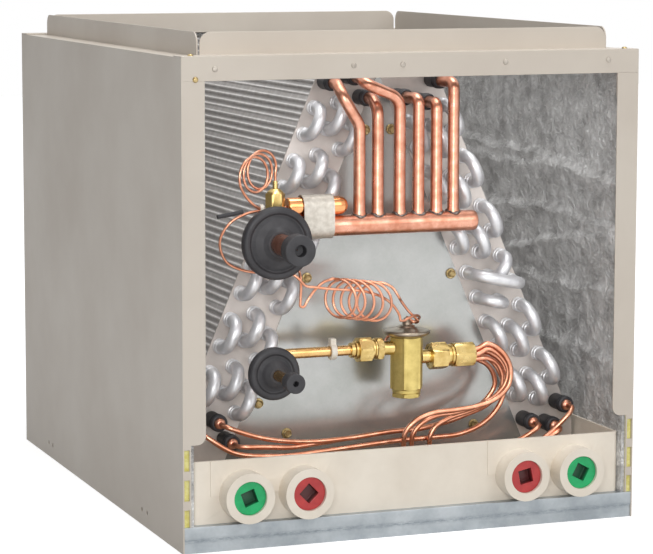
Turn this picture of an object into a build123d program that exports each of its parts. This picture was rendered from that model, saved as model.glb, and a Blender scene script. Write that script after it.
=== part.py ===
from build123d import *
import math
import os

# Cased A-coil evaporator: a painted sheet-metal casing, open at the front, holds two finned slabs
# that lean together as an A over a moulded drain pan, with the copper manifold, the expansion
# valve and the distributor in front of them. X runs across the front, Y from front to back, Z up.
# The origin is in the middle of the base. Depths are counted back from the casing's front plane.

# Casing
CASE_WIDTH = 445.0
CASE_DEPTH = 560.0
CASE_HEIGHT = 442.0  # up to the ledge that the duct flanges rise from
SHEET = 1.2  # casing steel
LEDGE = 23.0  # width of the ledge inside the casing's top edge
DUCT_FLANGE_HEIGHT = 20.0
DUCT_FLANGE_CORNER = 10.0
DUCT_FLANGE_END = 24.0  # distance of a duct flange's end from the casing's corner
POST_WIDTH = 21.5
POST_FOOT = 98.0  # height at which the front posts end
POST_CORNER = 8.0
EDGE_STRIP = 7.6  # width of what is left of a post below its foot
SLOT_HEIGHT = 19.0
SLOT_PITCH = 27.0
SLOT_WIDTH = 5.0
RAIL_DROP = 22.0  # height of the front top rail
TURN_IN = 20.0  # flanges turned in along the bottom and the back
BASE_RAIL_HEIGHT = 24.0
BASE_RAIL_DEPTH = 34.0
INSULATION = 9.5
INSULATION_GAP = 0.3
PAN_RUNNER_WIDTH = 30.0
SIDE_HOLE = 4.4  # screw holes low in the side panels, in a front pair and a back pair
SIDE_HOLE_SPACING = 16.0
SIDE_HOLE_HEIGHT = 14.5
FRONT_PAIR_DEPTH = 118.5
BACK_PAIR_DEPTH = 456.0
HOLE_WINDOW = 9.0  # height of the windows in the pan runners behind those holes

# Drain pan
PAN_FRONT = 8.0
PAN_GAP = 0.5
PAN_TOP = 81.0
PAN_WALL = 2.8
PAN_FLOOR = 3.0
PAN_CORNER = 5.0
UPSTAND_TOP = 60.0
UPSTAND_GAP = 8.7  # from the upstand to the slabs' inner feet
PAD_THICKNESS = 0.9
BOSS_OUTER = 46.0
BOSS_BORE = 31.0
BOSS_REACH = 21.0  # how far a drain boss stands out from the pan's wall
BOSS_HEIGHT = 49.0
BOSS_SIDE = 59.0  # from the casing's side to the outer boss of a pair
BOSS_SPACING = 56.5
PAD_MARGIN = 31.0  # how far a raised pad reaches past its bosses' axes
PLUG_RECESS = 3.0
PLUG_LENGTH = 16.0
PLUG_SOCKET = 13.0
PLUG_SOCKET_DEPTH = 9.0

# Finned slabs
SLAB_FOOT_GAP = 6.4  # between a slab's foot and the lining
TUBE_PITCH = 26.3
TUBES_PER_ROW = 14
SLAB_DEPTH = 55.0
ROW_SPACING = 19.0
ROWS = 3
APEX_GAP = 1.2
APEX_HEIGHT = 418.0  # where the slabs' inner top corners meet
COIL_FRONT = 95.0
REAR_BEND_ROOM = 47.0  # behind the coil, for its rear U-bends
TUBE_SHEET = 1.5
SHEET_FLANGE = 14.0
DELTA_SHEET = 1.2
RIPPLES_PER_PITCH = 3
RIPPLE_DEPTH = 1.8
TUBE_OUTER = 11.5
BEND_LEG = 8.0
CROSS_LEG = 17.5  # leg of the long crossover, which passes over the bends beside it
CAP_SHEET = 1.0

# Manifold
SUCTION_OUTER = 19.05
HEADER_DEPTH = 47.0
HEADER_HEIGHT = 283.0
HEADER_END_X = 79.0
SUCTION_X = -128.0
SUCTION_HEIGHT = 273.0
SUCTION_REACH = 42.0
FEEDER_OUTER = 10.8
FEEDER_BEND = 15.0
SLEEVE_WALL = 2.2
SLEEVE_LENGTH = 25.0
INLET_SLEEVE_OUTER = 16.0
INLET_STUB_OUTER = 10.6
FIT = 0.15  # radial clearance of rubber and plastic pieces on their tubes

# Sides of the sections that stand for round tubes, few enough to keep the model light
PIPE_SIDES = 12
FEEDER_SIDES = 8
BEND_SIDES = 6
HIDDEN_BEND_SIDES = 4
STRAND_SIDES = 5
CAPILLARY_SIDES = 4
BEND_CHORDS = 2  # straight pieces in each quarter turn of a front U-bend

# Liquid line, valve and distributor
LIQUID_OUTER = 9.5
LIQUID_X = -131.0
LIQUID_STUB_HEIGHT = 155.0
LIQUID_HEIGHT = 167.0
LIQUID_REACH = 38.0
VALVE_X = 10.6
VALVE_DEPTH = 47.0
VALVE_ACROSS = 28.0
VALVE_TOP = 181.0
VALVE_FOOT = 128.0
OUTLET_HEIGHT = 157.0
NUT_ACROSS = 22.0
POWER_HEAD_OUTER = 44.0
POWER_HEAD_HEIGHT = 13.6
DISTRIBUTOR_FACE_X = 82.0
STRAND_OUTER = 4.8
CAPILLARY_OUTER = 2.6
BULB_OUTER = 17.5
BULB_LENGTH = 60.0
BULB_END_X = -43.0
STRAP_WIDTH = 23.0
STRAP_SHEET = 0.9

# Grommets
SUCTION_GROMMET = 66.0
LIQUID_GROMMET = 48.0
GROMMET_DEPTH = 20.0

# Worked out from the sizes above
STUB_REACH = SUCTION_REACH + 3.0
CASE_FRONT = (STUB_REACH - CASE_DEPTH) / 2
CASE_BACK = CASE_FRONT + CASE_DEPTH
HALF_WIDTH = CASE_WIDTH / 2
LINING_FACE = HALF_WIDTH - SHEET - INSULATION
PAN_HALF_WIDTH = LINING_FACE - PAN_GAP
PAN_BACK = CASE_DEPTH - 2 * SHEET - INSULATION - PAN_GAP
PAN_FLOOR_TOP = BASE_RAIL_HEIGHT + PAN_FLOOR
BOSS_OUTSIDE_X = HALF_WIDTH - BOSS_SIDE
BOSS_INSIDE_X = BOSS_OUTSIDE_X - BOSS_SPACING
COIL_LENGTH = CASE_DEPTH - COIL_FRONT - REAR_BEND_ROOM
COIL_BACK = COIL_FRONT + COIL_LENGTH
SLAB_LENGTH = TUBE_PITCH * (TUBES_PER_ROW + 1)
# the slabs lean out from the apex until their feet stand the foot gap from the lining
FOOT_REACH = LINING_FACE - SLAB_FOOT_GAP - APEX_GAP / 2
COIL_TILT = math.asin(FOOT_REACH / math.hypot(SLAB_DEPTH, SLAB_LENGTH))
COIL_TILT -= math.atan2(SLAB_DEPTH, SLAB_LENGTH)
TILT_SIN = math.sin(COIL_TILT)
TILT_COS = math.cos(COIL_TILT)
TILT_TAN = TILT_SIN / TILT_COS
INNER_TOP = (APEX_GAP / 2, APEX_HEIGHT)
OUTER_TOP = (INNER_TOP[0] + SLAB_DEPTH * TILT_COS, APEX_HEIGHT + SLAB_DEPTH * TILT_SIN)
OUTER_FOOT = (OUTER_TOP[0] + SLAB_LENGTH * TILT_SIN, OUTER_TOP[1] - SLAB_LENGTH * TILT_COS)
UPSTAND_HALF_WIDTH = OUTER_FOOT[0] - SLAB_DEPTH * TILT_COS - UPSTAND_GAP
FIRST_ROW = (SLAB_DEPTH - (ROWS - 1) * ROW_SPACING) / 2
BULB_HEIGHT = HEADER_HEIGHT + (SUCTION_OUTER + BULB_OUTER) / 2 + 0.2
BULB_START_X = BULB_END_X - BULB_LENGTH
SLEEVE_MOUTH = COIL_FRONT - SLEEVE_LENGTH

os.makedirs("parts", exist_ok=True)


def behind(depth):
    """The Y coordinate of a depth behind the casing's front plane."""
    return CASE_FRONT + depth


def point(x, depth, z):
    """A point from its place across, its depth and its height."""
    return (x, behind(depth), z)


def upright(depth):
    """The XZ plane at a depth: X right, Z up, facing the front."""
    return Plane.XZ.offset(-behind(depth))


def inner_edge(z):
    """How far the slabs' inner faces lie from the middle at a height."""
    return INNER_TOP[0] + (APEX_HEIGHT - z) * TILT_TAN


def slab_plane(depth):
    """Right slab's own plane: X up along its outer face from the foot, Y into the slab."""
    origin = point(OUTER_FOOT[0], depth, OUTER_FOOT[1])
    return Plane(origin=origin, x_dir=(-TILT_SIN, 0, TILT_COS), z_dir=(0, -1, 0))


def row_depth(row):
    """Distance of a tube row from the slab's outer face."""
    return FIRST_ROW + row * ROW_SPACING


def tube_places(row, turned):
    """Places of one row's tubes along the slab. The middle row is staggered by half a pitch."""
    if row % 2 == 0:
        first = TUBE_PITCH
    elif turned:
        first = 1.5 * TUBE_PITCH
    else:
        first = 0.5 * TUBE_PITCH
    return [first + n * TUBE_PITCH for n in range(TUBES_PER_ROW)]


def tube_end(row, n, left):
    """Centre (x, z) of a tube's end on the front tube sheet."""
    place = tube_places(row, left)[n]
    x = OUTER_FOOT[0] - place * TILT_SIN - row_depth(row) * TILT_COS
    z = OUTER_FOOT[1] + place * TILT_COS - row_depth(row) * TILT_SIN
    return (-x if left else x, z)


def rounded(points, largest=1000.0):
    """Radii for a path's corners, each as large as its two runs allow."""
    spots = [Vector(*spot) for spot in points]
    radii = []
    for before, corner, after in zip(spots, spots[1:], spots[2:]):
        shorter = min((corner - before).length, (after - corner).length)
        half_turn = math.radians((corner - before).get_angle(after - corner) / 2)
        radii.append(min(largest, 0.45 * shorter / math.tan(half_turn)))
    return radii


def bent_tube(points, outer, sides, largest=1000.0):
    """A tube of a many-sided section along straight runs joined by tangent arcs."""
    with BuildPart() as tube:
        with BuildLine() as path:
            FilletPolyline(*points, radius=rounded(points, largest))
        with BuildSketch(Plane(path.line @ 0, z_dir=path.line % 0)):
            RegularPolygon(outer / 2, sides)
        sweep()
    return tube.part


def chord_tube(points, outer, sides):
    """A thin tube along chords of its route, mitred where they meet."""
    with BuildPart() as tube:
        with BuildLine() as path:
            Polyline(*points)
        with BuildSketch(Plane(path.line @ 0, z_dir=path.line % 0)):
            RegularPolygon(outer / 2, sides)
        sweep(transition=Transition.RIGHT)
    return tube.part


def finish(piece, name):
    """Label a finished piece and write it as STEP."""
    piece.label = name
    export_step(piece, f"parts/{name}.step")


# ---------------------------------------------------------------- casing


def duct_flange(length):
    """Outline of a duct flange with rounded top corners, its lower edge on the sketch's origin."""
    height = DUCT_FLANGE_HEIGHT + SHEET
    with BuildSketch(mode=Mode.PRIVATE) as outline:
        Rectangle(length, height, align=(Align.CENTER, Align.MIN))
        fillet(outline.vertices().group_by(Axis.Y)[-1], DUCT_FLANGE_CORNER)
    return outline.sketch


side_flange_length = CASE_DEPTH - 2 * DUCT_FLANGE_END
cross_flange_length = CASE_WIDTH - 2 * DUCT_FLANGE_END
case_middle = behind(CASE_DEPTH / 2)

with BuildPart() as left_side_panel:
    # outer wall, cut back at the top where the front rail wraps it
    with BuildSketch(Plane.YZ.offset(-HALF_WIDTH)):
        with BuildLine():
            Polyline(
                (behind(0), BASE_RAIL_HEIGHT),
                (behind(0), CASE_HEIGHT - RAIL_DROP),
                (behind(SHEET), CASE_HEIGHT - RAIL_DROP),
                (behind(SHEET), CASE_HEIGHT - SHEET),
                (CASE_BACK - SHEET, CASE_HEIGHT - SHEET),
                (CASE_BACK - SHEET, 0),
                (behind(0), 0),
                close=True,
            )
        make_face()
        for pair_depth in (FRONT_PAIR_DEPTH, BACK_PAIR_DEPTH):
            with Locations((behind(pair_depth), SIDE_HOLE_HEIGHT)):
                with GridLocations(SIDE_HOLE_SPACING, 0, 2, 1):
                    Circle(SIDE_HOLE / 2, mode=Mode.SUBTRACT)
    extrude(amount=SHEET)
    # front post, with a rounded foot
    with BuildSketch(upright(0)) as post:
        with Locations((-HALF_WIDTH, POST_FOOT)):
            Rectangle(
                POST_WIDTH,
                CASE_HEIGHT - RAIL_DROP - POST_FOOT,
                align=(Align.MIN, Align.MIN),
            )
        inner_foot = post.vertices().group_by(Axis.Z)[0].sort_by(Axis.X)[-1]
        fillet(inner_foot, POST_CORNER)
    extrude(amount=-SHEET)
    # narrow slotted strip below the post
    with BuildSketch(upright(0)):
        with Locations((-HALF_WIDTH, BASE_RAIL_HEIGHT)):
            Rectangle(EDGE_STRIP, POST_FOOT - BASE_RAIL_HEIGHT, align=(Align.MIN, Align.MIN))
        slot_x = -HALF_WIDTH + SHEET + SLOT_WIDTH / 2
        slot_top = POST_FOOT - SLOT_PITCH / 2
        with Locations(*[(slot_x, slot_top - n * SLOT_PITCH) for n in range(3)]):
            Rectangle(SLOT_WIDTH, SLOT_HEIGHT, mode=Mode.SUBTRACT)
    extrude(amount=-SHEET)
    # tab behind the front rail's end, which the rail is screwed to
    with BuildSketch(upright(SHEET)):
        with Locations((-HALF_WIDTH, CASE_HEIGHT - 2 * RAIL_DROP)):
            Rectangle(
                POST_WIDTH, 2 * RAIL_DROP - 2 * SHEET, align=(Align.MIN, Align.MIN)
            )
    extrude(amount=-SHEET)
    # top ledge and duct flange
    with BuildSketch(Plane.XY.offset(CASE_HEIGHT - 2 * SHEET)):
        with Locations((-HALF_WIDTH, behind(SHEET))):
            Rectangle(LEDGE, CASE_DEPTH - 2 * SHEET, align=(Align.MIN, Align.MIN))
    extrude(amount=SHEET)
    with BuildSketch(
        Plane(
            origin=(-HALF_WIDTH + LEDGE - SHEET, case_middle, CASE_HEIGHT - SHEET),
            x_dir=(0, 1, 0),
            z_dir=(1, 0, 0),
        )
    ):
        add(duct_flange(side_flange_length))
    extrude(amount=SHEET)
    # flanges turned in at the back and along the bottom
    with BuildSketch(upright(CASE_DEPTH - 2 * SHEET)):
        with Locations((-HALF_WIDTH, 0)):
            Rectangle(TURN_IN, CASE_HEIGHT - SHEET, align=(Align.MIN, Align.MIN))
    extrude(amount=-SHEET)
    with BuildSketch(Plane.XY):
        with Locations((-HALF_WIDTH, behind(BASE_RAIL_DEPTH))):
            Rectangle(
                TURN_IN,
                CASE_DEPTH - SHEET - BASE_RAIL_DEPTH,
                align=(Align.MIN, Align.MIN),
            )
    extrude(amount=SHEET)
finish(left_side_panel.part, "left_side_panel")

with BuildPart() as right_side_panel:
    mirror(left_side_panel.part, about=Plane.YZ)
finish(right_side_panel.part, "right_side_panel")


def cross_panel(front):
    """Front top rail or back panel: face, ledge over the side ledges, and duct flange."""
    face_foot = CASE_HEIGHT - RAIL_DROP if front else 0
    face_depth = 0 if front else CASE_DEPTH - SHEET
    ledge_depth = 0 if front else CASE_DEPTH - LEDGE
    flange_depth = LEDGE - SHEET if front else CASE_DEPTH - LEDGE
    with BuildPart() as panel:
        with BuildSketch(upright(face_depth)):
            with Locations((0, face_foot)):
                Rectangle(
                    CASE_WIDTH,
                    CASE_HEIGHT - face_foot,
                    align=(Align.CENTER, Align.MIN),
                )
        extrude(amount=-SHEET)
        with BuildSketch(Plane.XY.offset(CASE_HEIGHT - SHEET)):
            with Locations((0, behind(ledge_depth))):
                Rectangle(CASE_WIDTH, LEDGE, align=(Align.CENTER, Align.MIN))
        extrude(amount=SHEET)
        with BuildSketch(upright(flange_depth)):
            with Locations((0, CASE_HEIGHT - SHEET)):
                add(duct_flange(cross_flange_length))
        extrude(amount=-SHEET)
        if not front:
            turn_in_width = CASE_WIDTH - 2 * TURN_IN
            with BuildSketch(Plane.XY):
                with Locations((0, CASE_BACK)):
                    Rectangle(turn_in_width, TURN_IN, align=(Align.CENTER, Align.MAX))
            extrude(amount=SHEET)
    return panel.part


finish(cross_panel(front=True), "front_top_rail")
finish(cross_panel(front=False), "back_panel")


RAIL_STEP = 1.0
rail_middle = BASE_RAIL_HEIGHT / 2
with BuildPart() as front_base_rail:
    # roll-formed section: a stepped face with flanges turned back
    with BuildSketch(Plane.YZ.offset(-HALF_WIDTH + SHEET)):
        with BuildLine():
            Polyline(
                (behind(BASE_RAIL_DEPTH - 12), SHEET / 2),
                (behind(SHEET / 2 + RAIL_STEP), SHEET / 2),
                (behind(SHEET / 2 + RAIL_STEP), rail_middle - RAIL_STEP),
                (behind(SHEET / 2), rail_middle + RAIL_STEP),
                (behind(SHEET / 2), BASE_RAIL_HEIGHT - SHEET / 2),
                (behind(BASE_RAIL_DEPTH), BASE_RAIL_HEIGHT - SHEET / 2),
            )
        trace(line_width=SHEET)
    extrude(amount=CASE_WIDTH - 2 * SHEET)
finish(front_base_rail.part, "front_base_rail")


def pan_runner():
    """Left runner under the drain pan: a Z of galvanised sheet on the side panel's bottom flange."""
    with BuildPart() as runner:
        with BuildSketch(upright(BASE_RAIL_DEPTH + INSULATION_GAP)):
            outer_x = -HALF_WIDTH + SHEET + INSULATION_GAP
            with BuildLine():
                FilletPolyline(
                    (outer_x + PAN_RUNNER_WIDTH, BASE_RAIL_HEIGHT),
                    (outer_x, BASE_RAIL_HEIGHT),
                    (outer_x, SHEET),
                    (outer_x + TURN_IN, SHEET),
                    (outer_x + TURN_IN, 2 * SHEET),
                    (outer_x + SHEET, 2 * SHEET),
                    (outer_x + SHEET, BASE_RAIL_HEIGHT - SHEET),
                    (outer_x + PAN_RUNNER_WIDTH, BASE_RAIL_HEIGHT - SHEET),
                    radius=0.4,
                    close=True,
                )
            make_face()
        extrude(amount=-(CASE_DEPTH - BASE_RAIL_DEPTH - TURN_IN - 4 * SHEET))
        with BuildSketch(Plane.YZ.offset(outer_x)):
            for pair_depth in (FRONT_PAIR_DEPTH, BACK_PAIR_DEPTH):
                with Locations((behind(pair_depth), SIDE_HOLE_HEIGHT)):
                    Rectangle(SIDE_HOLE_SPACING + HOLE_WINDOW, HOLE_WINDOW)
        extrude(amount=SHEET, mode=Mode.SUBTRACT)
    return runner.part


finish(pan_runner(), "left_pan_runner")
with BuildPart() as right_pan_runner:
    mirror(pan_runner(), about=Plane.YZ)
finish(right_pan_runner.part, "right_pan_runner")


# ---------------------------------------------------------------- insulation

with BuildPart() as left_insulation:
    with BuildSketch(Plane.YZ.offset(-HALF_WIDTH + SHEET)):
        with Locations((behind(2 * SHEET), BASE_RAIL_HEIGHT)):
            Rectangle(
                CASE_DEPTH - 4 * SHEET,
                CASE_HEIGHT - BASE_RAIL_HEIGHT - 2 * SHEET,
                align=(Align.MIN, Align.MIN),
            )
    extrude(amount=INSULATION)
finish(left_insulation.part, "left_insulation")

with BuildPart() as right_insulation:
    mirror(left_insulation.part, about=Plane.YZ)
finish(right_insulation.part, "right_insulation")

with BuildPart() as back_insulation:
    with BuildSketch(upright(CASE_DEPTH - 2 * SHEET - INSULATION)):
        with Locations((0, BASE_RAIL_HEIGHT)):
            Rectangle(
                2 * LINING_FACE,
                CASE_HEIGHT - BASE_RAIL_HEIGHT - 2 * SHEET,
                align=(Align.CENTER, Align.MIN),
            )
    extrude(amount=-INSULATION)
finish(back_insulation.part, "back_insulation")


# ---------------------------------------------------------------- drain pan

boss_places = [
    (-BOSS_OUTSIDE_X, BOSS_HEIGHT),
    (-BOSS_INSIDE_X, BOSS_HEIGHT),
    (BOSS_INSIDE_X, BOSS_HEIGHT),
    (BOSS_OUTSIDE_X, BOSS_HEIGHT),
]
pan_depth = PAN_BACK - PAN_FRONT
upstand_front = COIL_FRONT + TUBE_SHEET + 1.0
upstand_length = COIL_LENGTH - 2 * (TUBE_SHEET + 1.0)
upstand_middle = behind(upstand_front + upstand_length / 2)
pan_middle = behind(PAN_FRONT + pan_depth / 2)

with BuildPart() as drain_pan:
    with BuildSketch(Plane.XY.offset(BASE_RAIL_HEIGHT)):
        with Locations((0, pan_middle)):
            RectangleRounded(2 * PAN_HALF_WIDTH, pan_depth, PAN_CORNER)
    extrude(amount=PAN_TOP - BASE_RAIL_HEIGHT)
    with BuildSketch(Plane.XY.offset(PAN_FLOOR_TOP)):
        with Locations((0, pan_middle)):
            RectangleRounded(
                2 * (PAN_HALF_WIDTH - PAN_WALL),
                pan_depth - 2 * PAN_WALL,
                PAN_CORNER - PAN_WALL,
            )
    extrude(amount=PAN_TOP - PAN_FLOOR_TOP, mode=Mode.SUBTRACT)
    # upstand round the air inlet
    with BuildSketch(Plane.XY.offset(BASE_RAIL_HEIGHT)):
        with Locations((0, upstand_middle)):
            Rectangle(2 * UPSTAND_HALF_WIDTH, upstand_length)
    extrude(amount=UPSTAND_TOP - BASE_RAIL_HEIGHT)
    with BuildSketch(Plane.XY.offset(BASE_RAIL_HEIGHT)):
        with Locations((0, upstand_middle)):
            Rectangle(
                2 * (UPSTAND_HALF_WIDTH - PAN_WALL), upstand_length - 2 * PAN_WALL
            )
    extrude(amount=UPSTAND_TOP - BASE_RAIL_HEIGHT, mode=Mode.SUBTRACT)
    # raised pads round each pair of drain bosses
    with BuildSketch(upright(PAN_FRONT)):
        for side in (-1, 1):
            pad_middle = side * (BOSS_OUTSIDE_X + BOSS_INSIDE_X) / 2
            with Locations((pad_middle, BOSS_HEIGHT)):
                Rectangle(
                    BOSS_SPACING + 2 * PAD_MARGIN,
                    PAN_TOP - BOSS_HEIGHT,
                    align=(Align.CENTER, Align.MIN),
                )
    extrude(amount=PAD_THICKNESS)
    # drain bosses with their bores
    with BuildSketch(upright(PAN_FRONT)):
        with Locations(*boss_places):
            Circle(BOSS_OUTER / 2)
    extrude(amount=BOSS_REACH)
    with BuildSketch(upright(PAN_FRONT - BOSS_REACH)):
        with Locations(*boss_places):
            Circle(BOSS_BORE / 2)
    extrude(amount=-(BOSS_REACH + PAN_WALL), mode=Mode.SUBTRACT)
finish(drain_pan.part, "drain_pan")


def drain_plug(place, turn):
    """A threaded plug with a square socket, sunk a little into its boss."""
    with BuildPart() as plug:
        with BuildSketch(upright(PAN_FRONT - BOSS_REACH + PLUG_RECESS)):
            with Locations(place):
                Circle(BOSS_BORE / 2 - FIT)
        extrude(amount=-PLUG_LENGTH)
        with BuildSketch(upright(PAN_FRONT - BOSS_REACH + PLUG_RECESS)):
            with Locations(Location((place[0], place[1], 0), turn)):
                Rectangle(PLUG_SOCKET, PLUG_SOCKET)
        extrude(amount=-PLUG_SOCKET_DEPTH, mode=Mode.SUBTRACT)
    return plug.part


plug_names = [
    "left_outer_drain_plug",
    "left_inner_drain_plug",
    "right_inner_drain_plug",
    "right_outer_drain_plug",
]
plug_turns = [20.0, 45.0, 12.0, -28.0]
for name, place, turn in zip(plug_names, boss_places, plug_turns):
    finish(drain_plug(place, turn), name)


# ---------------------------------------------------------------- finned slabs


def fin_outline():
    """Rippled outline of a fin, in the slab's own plane."""
    steps = RIPPLES_PER_PITCH * (TUBES_PER_ROW + 1)
    ripple = SLAB_LENGTH / steps
    outline = [(0, 0)]
    for n in range(steps):
        outline.append(((n + 0.5) * ripple, RIPPLE_DEPTH))
        outline.append(((n + 1) * ripple, 0))
    for n in reversed(range(steps)):
        outline.append(((n + 1) * ripple, SLAB_DEPTH))
        outline.append(((n + 0.5) * ripple, SLAB_DEPTH - RIPPLE_DEPTH))
    outline.append((0, SLAB_DEPTH))
    return outline


with BuildPart() as right_fin_pack:
    with BuildSketch(slab_plane(COIL_FRONT + TUBE_SHEET)):
        with BuildLine():
            Polyline(*fin_outline(), close=True)
        make_face()
    extrude(amount=-(COIL_LENGTH - 2 * TUBE_SHEET))
finish(right_fin_pack.part, "right_fin_pack")

with BuildPart() as left_fin_pack:
    mirror(right_fin_pack.part, about=Plane.YZ)
finish(left_fin_pack.part, "left_fin_pack")


def tube_sheet(depth):
    """Right tube sheet at a depth: a leaning plate whose foot stands on the pan's floor."""
    flange_top = APEX_HEIGHT - SHEET_FLANGE / TILT_TAN
    with BuildPart() as plate:
        with BuildSketch(upright(depth)):
            with BuildLine():
                Polyline(
                    INNER_TOP,
                    OUTER_TOP,
                    OUTER_FOOT,
                    (OUTER_FOOT[0], PAN_FLOOR_TOP),
                    (inner_edge(PAN_FLOOR_TOP) - SHEET_FLANGE, PAN_FLOOR_TOP),
                    (INNER_TOP[0], flange_top),
                    close=True,
                )
            make_face()
        extrude(amount=-TUBE_SHEET)
    return plate.part


sheet_depths = {"front": COIL_FRONT, "rear": COIL_BACK - TUBE_SHEET}
for end, depth in sheet_depths.items():
    right_sheet = tube_sheet(depth)
    finish(right_sheet, f"right_{end}_tube_sheet")
    with BuildPart() as left_sheet:
        mirror(right_sheet, about=Plane.YZ)
    finish(left_sheet.part, f"left_{end}_tube_sheet")

delta_depths = {"front": COIL_FRONT - DELTA_SHEET, "rear": COIL_BACK}
for end, depth in delta_depths.items():
    with BuildPart() as delta_plate:
        with BuildSketch(upright(depth)):
            foot = inner_edge(PAN_FLOOR_TOP)
            with BuildLine():
                Polyline(
                    (-foot, PAN_FLOOR_TOP),
                    (foot, PAN_FLOOR_TOP),
                    (INNER_TOP[0], APEX_HEIGHT),
                    (-INNER_TOP[0], APEX_HEIGHT),
                    close=True,
                )
            make_face()
        extrude(amount=-DELTA_SHEET)
    finish(delta_plate.part, f"{end}_delta_plate")

with BuildPart() as apex_cap:
    with BuildSketch(upright(COIL_FRONT)):
        valley = APEX_HEIGHT - INNER_TOP[0] * TILT_TAN
        rise = CAP_SHEET / TILT_COS
        with BuildLine():
            Polyline(
                (-OUTER_TOP[0], OUTER_TOP[1]),
                (0, valley),
                OUTER_TOP,
                (OUTER_TOP[0], OUTER_TOP[1] + rise),
                (0, valley + rise),
                (-OUTER_TOP[0], OUTER_TOP[1] + rise),
                close=True,
            )
        make_face()
    extrude(amount=-COIL_LENGTH)
finish(apex_cap.part, "apex_cap")


def return_bend(span, leg, chords, sides):
    """A U-bend that stands on the XY plane from the origin to X = span, its turns in chords.

    Its turns have the radius of a bend between neighbouring tubes, and a wider one is
    straight between them.
    """
    radius = TUBE_PITCH / 2
    turns = [math.pi / 2 * n / chords for n in range(chords + 1)]
    rising = [((1 - math.cos(t)) * radius, leg + math.sin(t) * radius) for t in turns]
    if span <= 2 * radius:
        rising = [(x * span / 2 / radius, z) for x, z in rising]
    falling = [(span - x, z) for x, z in reversed(rising)]
    if span <= 2 * radius:
        falling = falling[1:]
    with BuildPart() as bend:
        with BuildLine(Plane.XZ):
            Polyline((0, 0), *rising, *falling, (span, 0))
        with BuildSketch(Plane.XY):
            RegularPolygon(TUBE_OUTER / 2, sides)
        sweep(transition=Transition.RIGHT)
    return bend.part


def slab_place(row, n, left):
    """A tube's place on the tube sheet: along the slab from its foot, and in from its face."""
    return (tube_places(row, left)[n], row_depth(row))


def bend_row(pairs, left, leg=BEND_LEG):
    """Front U-bends between pairs of tubes, each tube given as (row, number)."""
    base = slab_plane(COIL_FRONT).location
    with BuildPart() as bends:
        for start, end in pairs:
            along, inward = slab_place(*start, left)
            end_along, end_inward = slab_place(*end, left)
            span = math.hypot(end_along - along, end_inward - inward)
            turn = math.degrees(math.atan2(end_inward - inward, end_along - along))
            with Locations(base * Location((along, inward, 0), turn)):
                add(return_bend(span, leg, BEND_CHORDS, BEND_SIDES))
    if not left:
        return bends.part
    with BuildPart() as mirrored:
        mirror(bends.part, about=Plane.YZ)
    return mirrored.part


def neighbours(row, skipped=()):
    """A row's front U-bends: second tube to third, fourth to fifth, and so on."""
    starts = [n for n in range(1, TUBES_PER_ROW - 1, 2) if n not in skipped]
    return [((row, n), (row, n + 1)) for n in starts]


# Half-way up the right slab its three circuits change rows, so three bends cross over there.
CROSS = 5
row_names = ["outer", "middle", "inner"]
for row, row_name in enumerate(row_names):
    finish(bend_row(neighbours(row), left=True), f"left_{row_name}_return_bends")
right_crossings = {
    "outer": ((0, CROSS + 1), (1, CROSS + 1), BEND_LEG),
    "middle": ((2, CROSS), (1, CROSS), BEND_LEG),
    "inner": ((2, CROSS + 1), (0, CROSS), CROSS_LEG),
}
for row, row_name in enumerate(row_names):
    start, end, leg = right_crossings[row_name]
    with BuildPart() as right_bends:
        add(bend_row(neighbours(row, skipped=(CROSS,)), left=False))
        add(bend_row([(start, end)], left=False, leg=leg))
    finish(right_bends.part, f"right_{row_name}_return_bends")

rear_bend = return_bend(TUBE_PITCH, BEND_LEG, 1, HIDDEN_BEND_SIDES)


def rear_bends(left):
    """The rear U-bends of a slab, which join its first and second tube, and so on."""
    back_face = Plane(
        origin=point(OUTER_FOOT[0], COIL_BACK, OUTER_FOOT[1]),
        x_dir=(-TILT_SIN, 0, TILT_COS),
        z_dir=(0, 1, 0),
    )
    with BuildPart() as bends:
        for row in range(ROWS):
            starts = tube_places(row, left)[::2]
            base = back_face.location
            spots = [base * Location((start, -row_depth(row), 0)) for start in starts]
            with Locations(*spots):
                add(rear_bend)
    if not left:
        return bends.part
    with BuildPart() as mirrored:
        mirror(bends.part, about=Plane.YZ)
    return mirrored.part


finish(rear_bends(left=True), "left_rear_return_bends")
finish(rear_bends(left=False), "right_rear_return_bends")


# ---------------------------------------------------------------- suction manifold

with BuildPart() as suction_line:
    with BuildLine() as suction_path:
        FilletPolyline(
            point(HEADER_END_X, HEADER_DEPTH, HEADER_HEIGHT),
            point(SUCTION_X + 10, HEADER_DEPTH, HEADER_HEIGHT),
            point(SUCTION_X, HEADER_DEPTH - 13, SUCTION_HEIGHT),
            point(SUCTION_X, -SUCTION_REACH, SUCTION_HEIGHT),
            radius=14.0,
        )
    with BuildSketch(Plane(suction_path.line @ 0, z_dir=suction_path.line % 0)):
        RegularPolygon(SUCTION_OUTER / 2, PIPE_SIDES)
    sweep()
    chamfer(suction_line.faces().sort_by(Axis.X)[-1].edges(), 3.0)
finish(suction_line.part, "suction_line")

# each feeder: foot on the header, corners of its route, and the tube that it enters
feeder_routes = [
    (-37.0, [(-37.0, 47.0, 374.0), (-54.0, 47.0, 402.0)], (0, 13, True)),
    (-19.0, [(-19.0, 47.0, 388.0)], (2, 13, True)),
    (2.7, [(2.7, 47.0, 398.0), (-31.0, 47.0, 412.0)], (1, 13, True)),
    (21.4, [(21.4, 47.0, 398.0)], (2, 13, False)),
    (39.4, [(39.4, 47.0, 393.0)], (1, 13, False)),
    (56.6, [(56.6, 47.0, 412.0)], (0, 13, False)),
]


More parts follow.
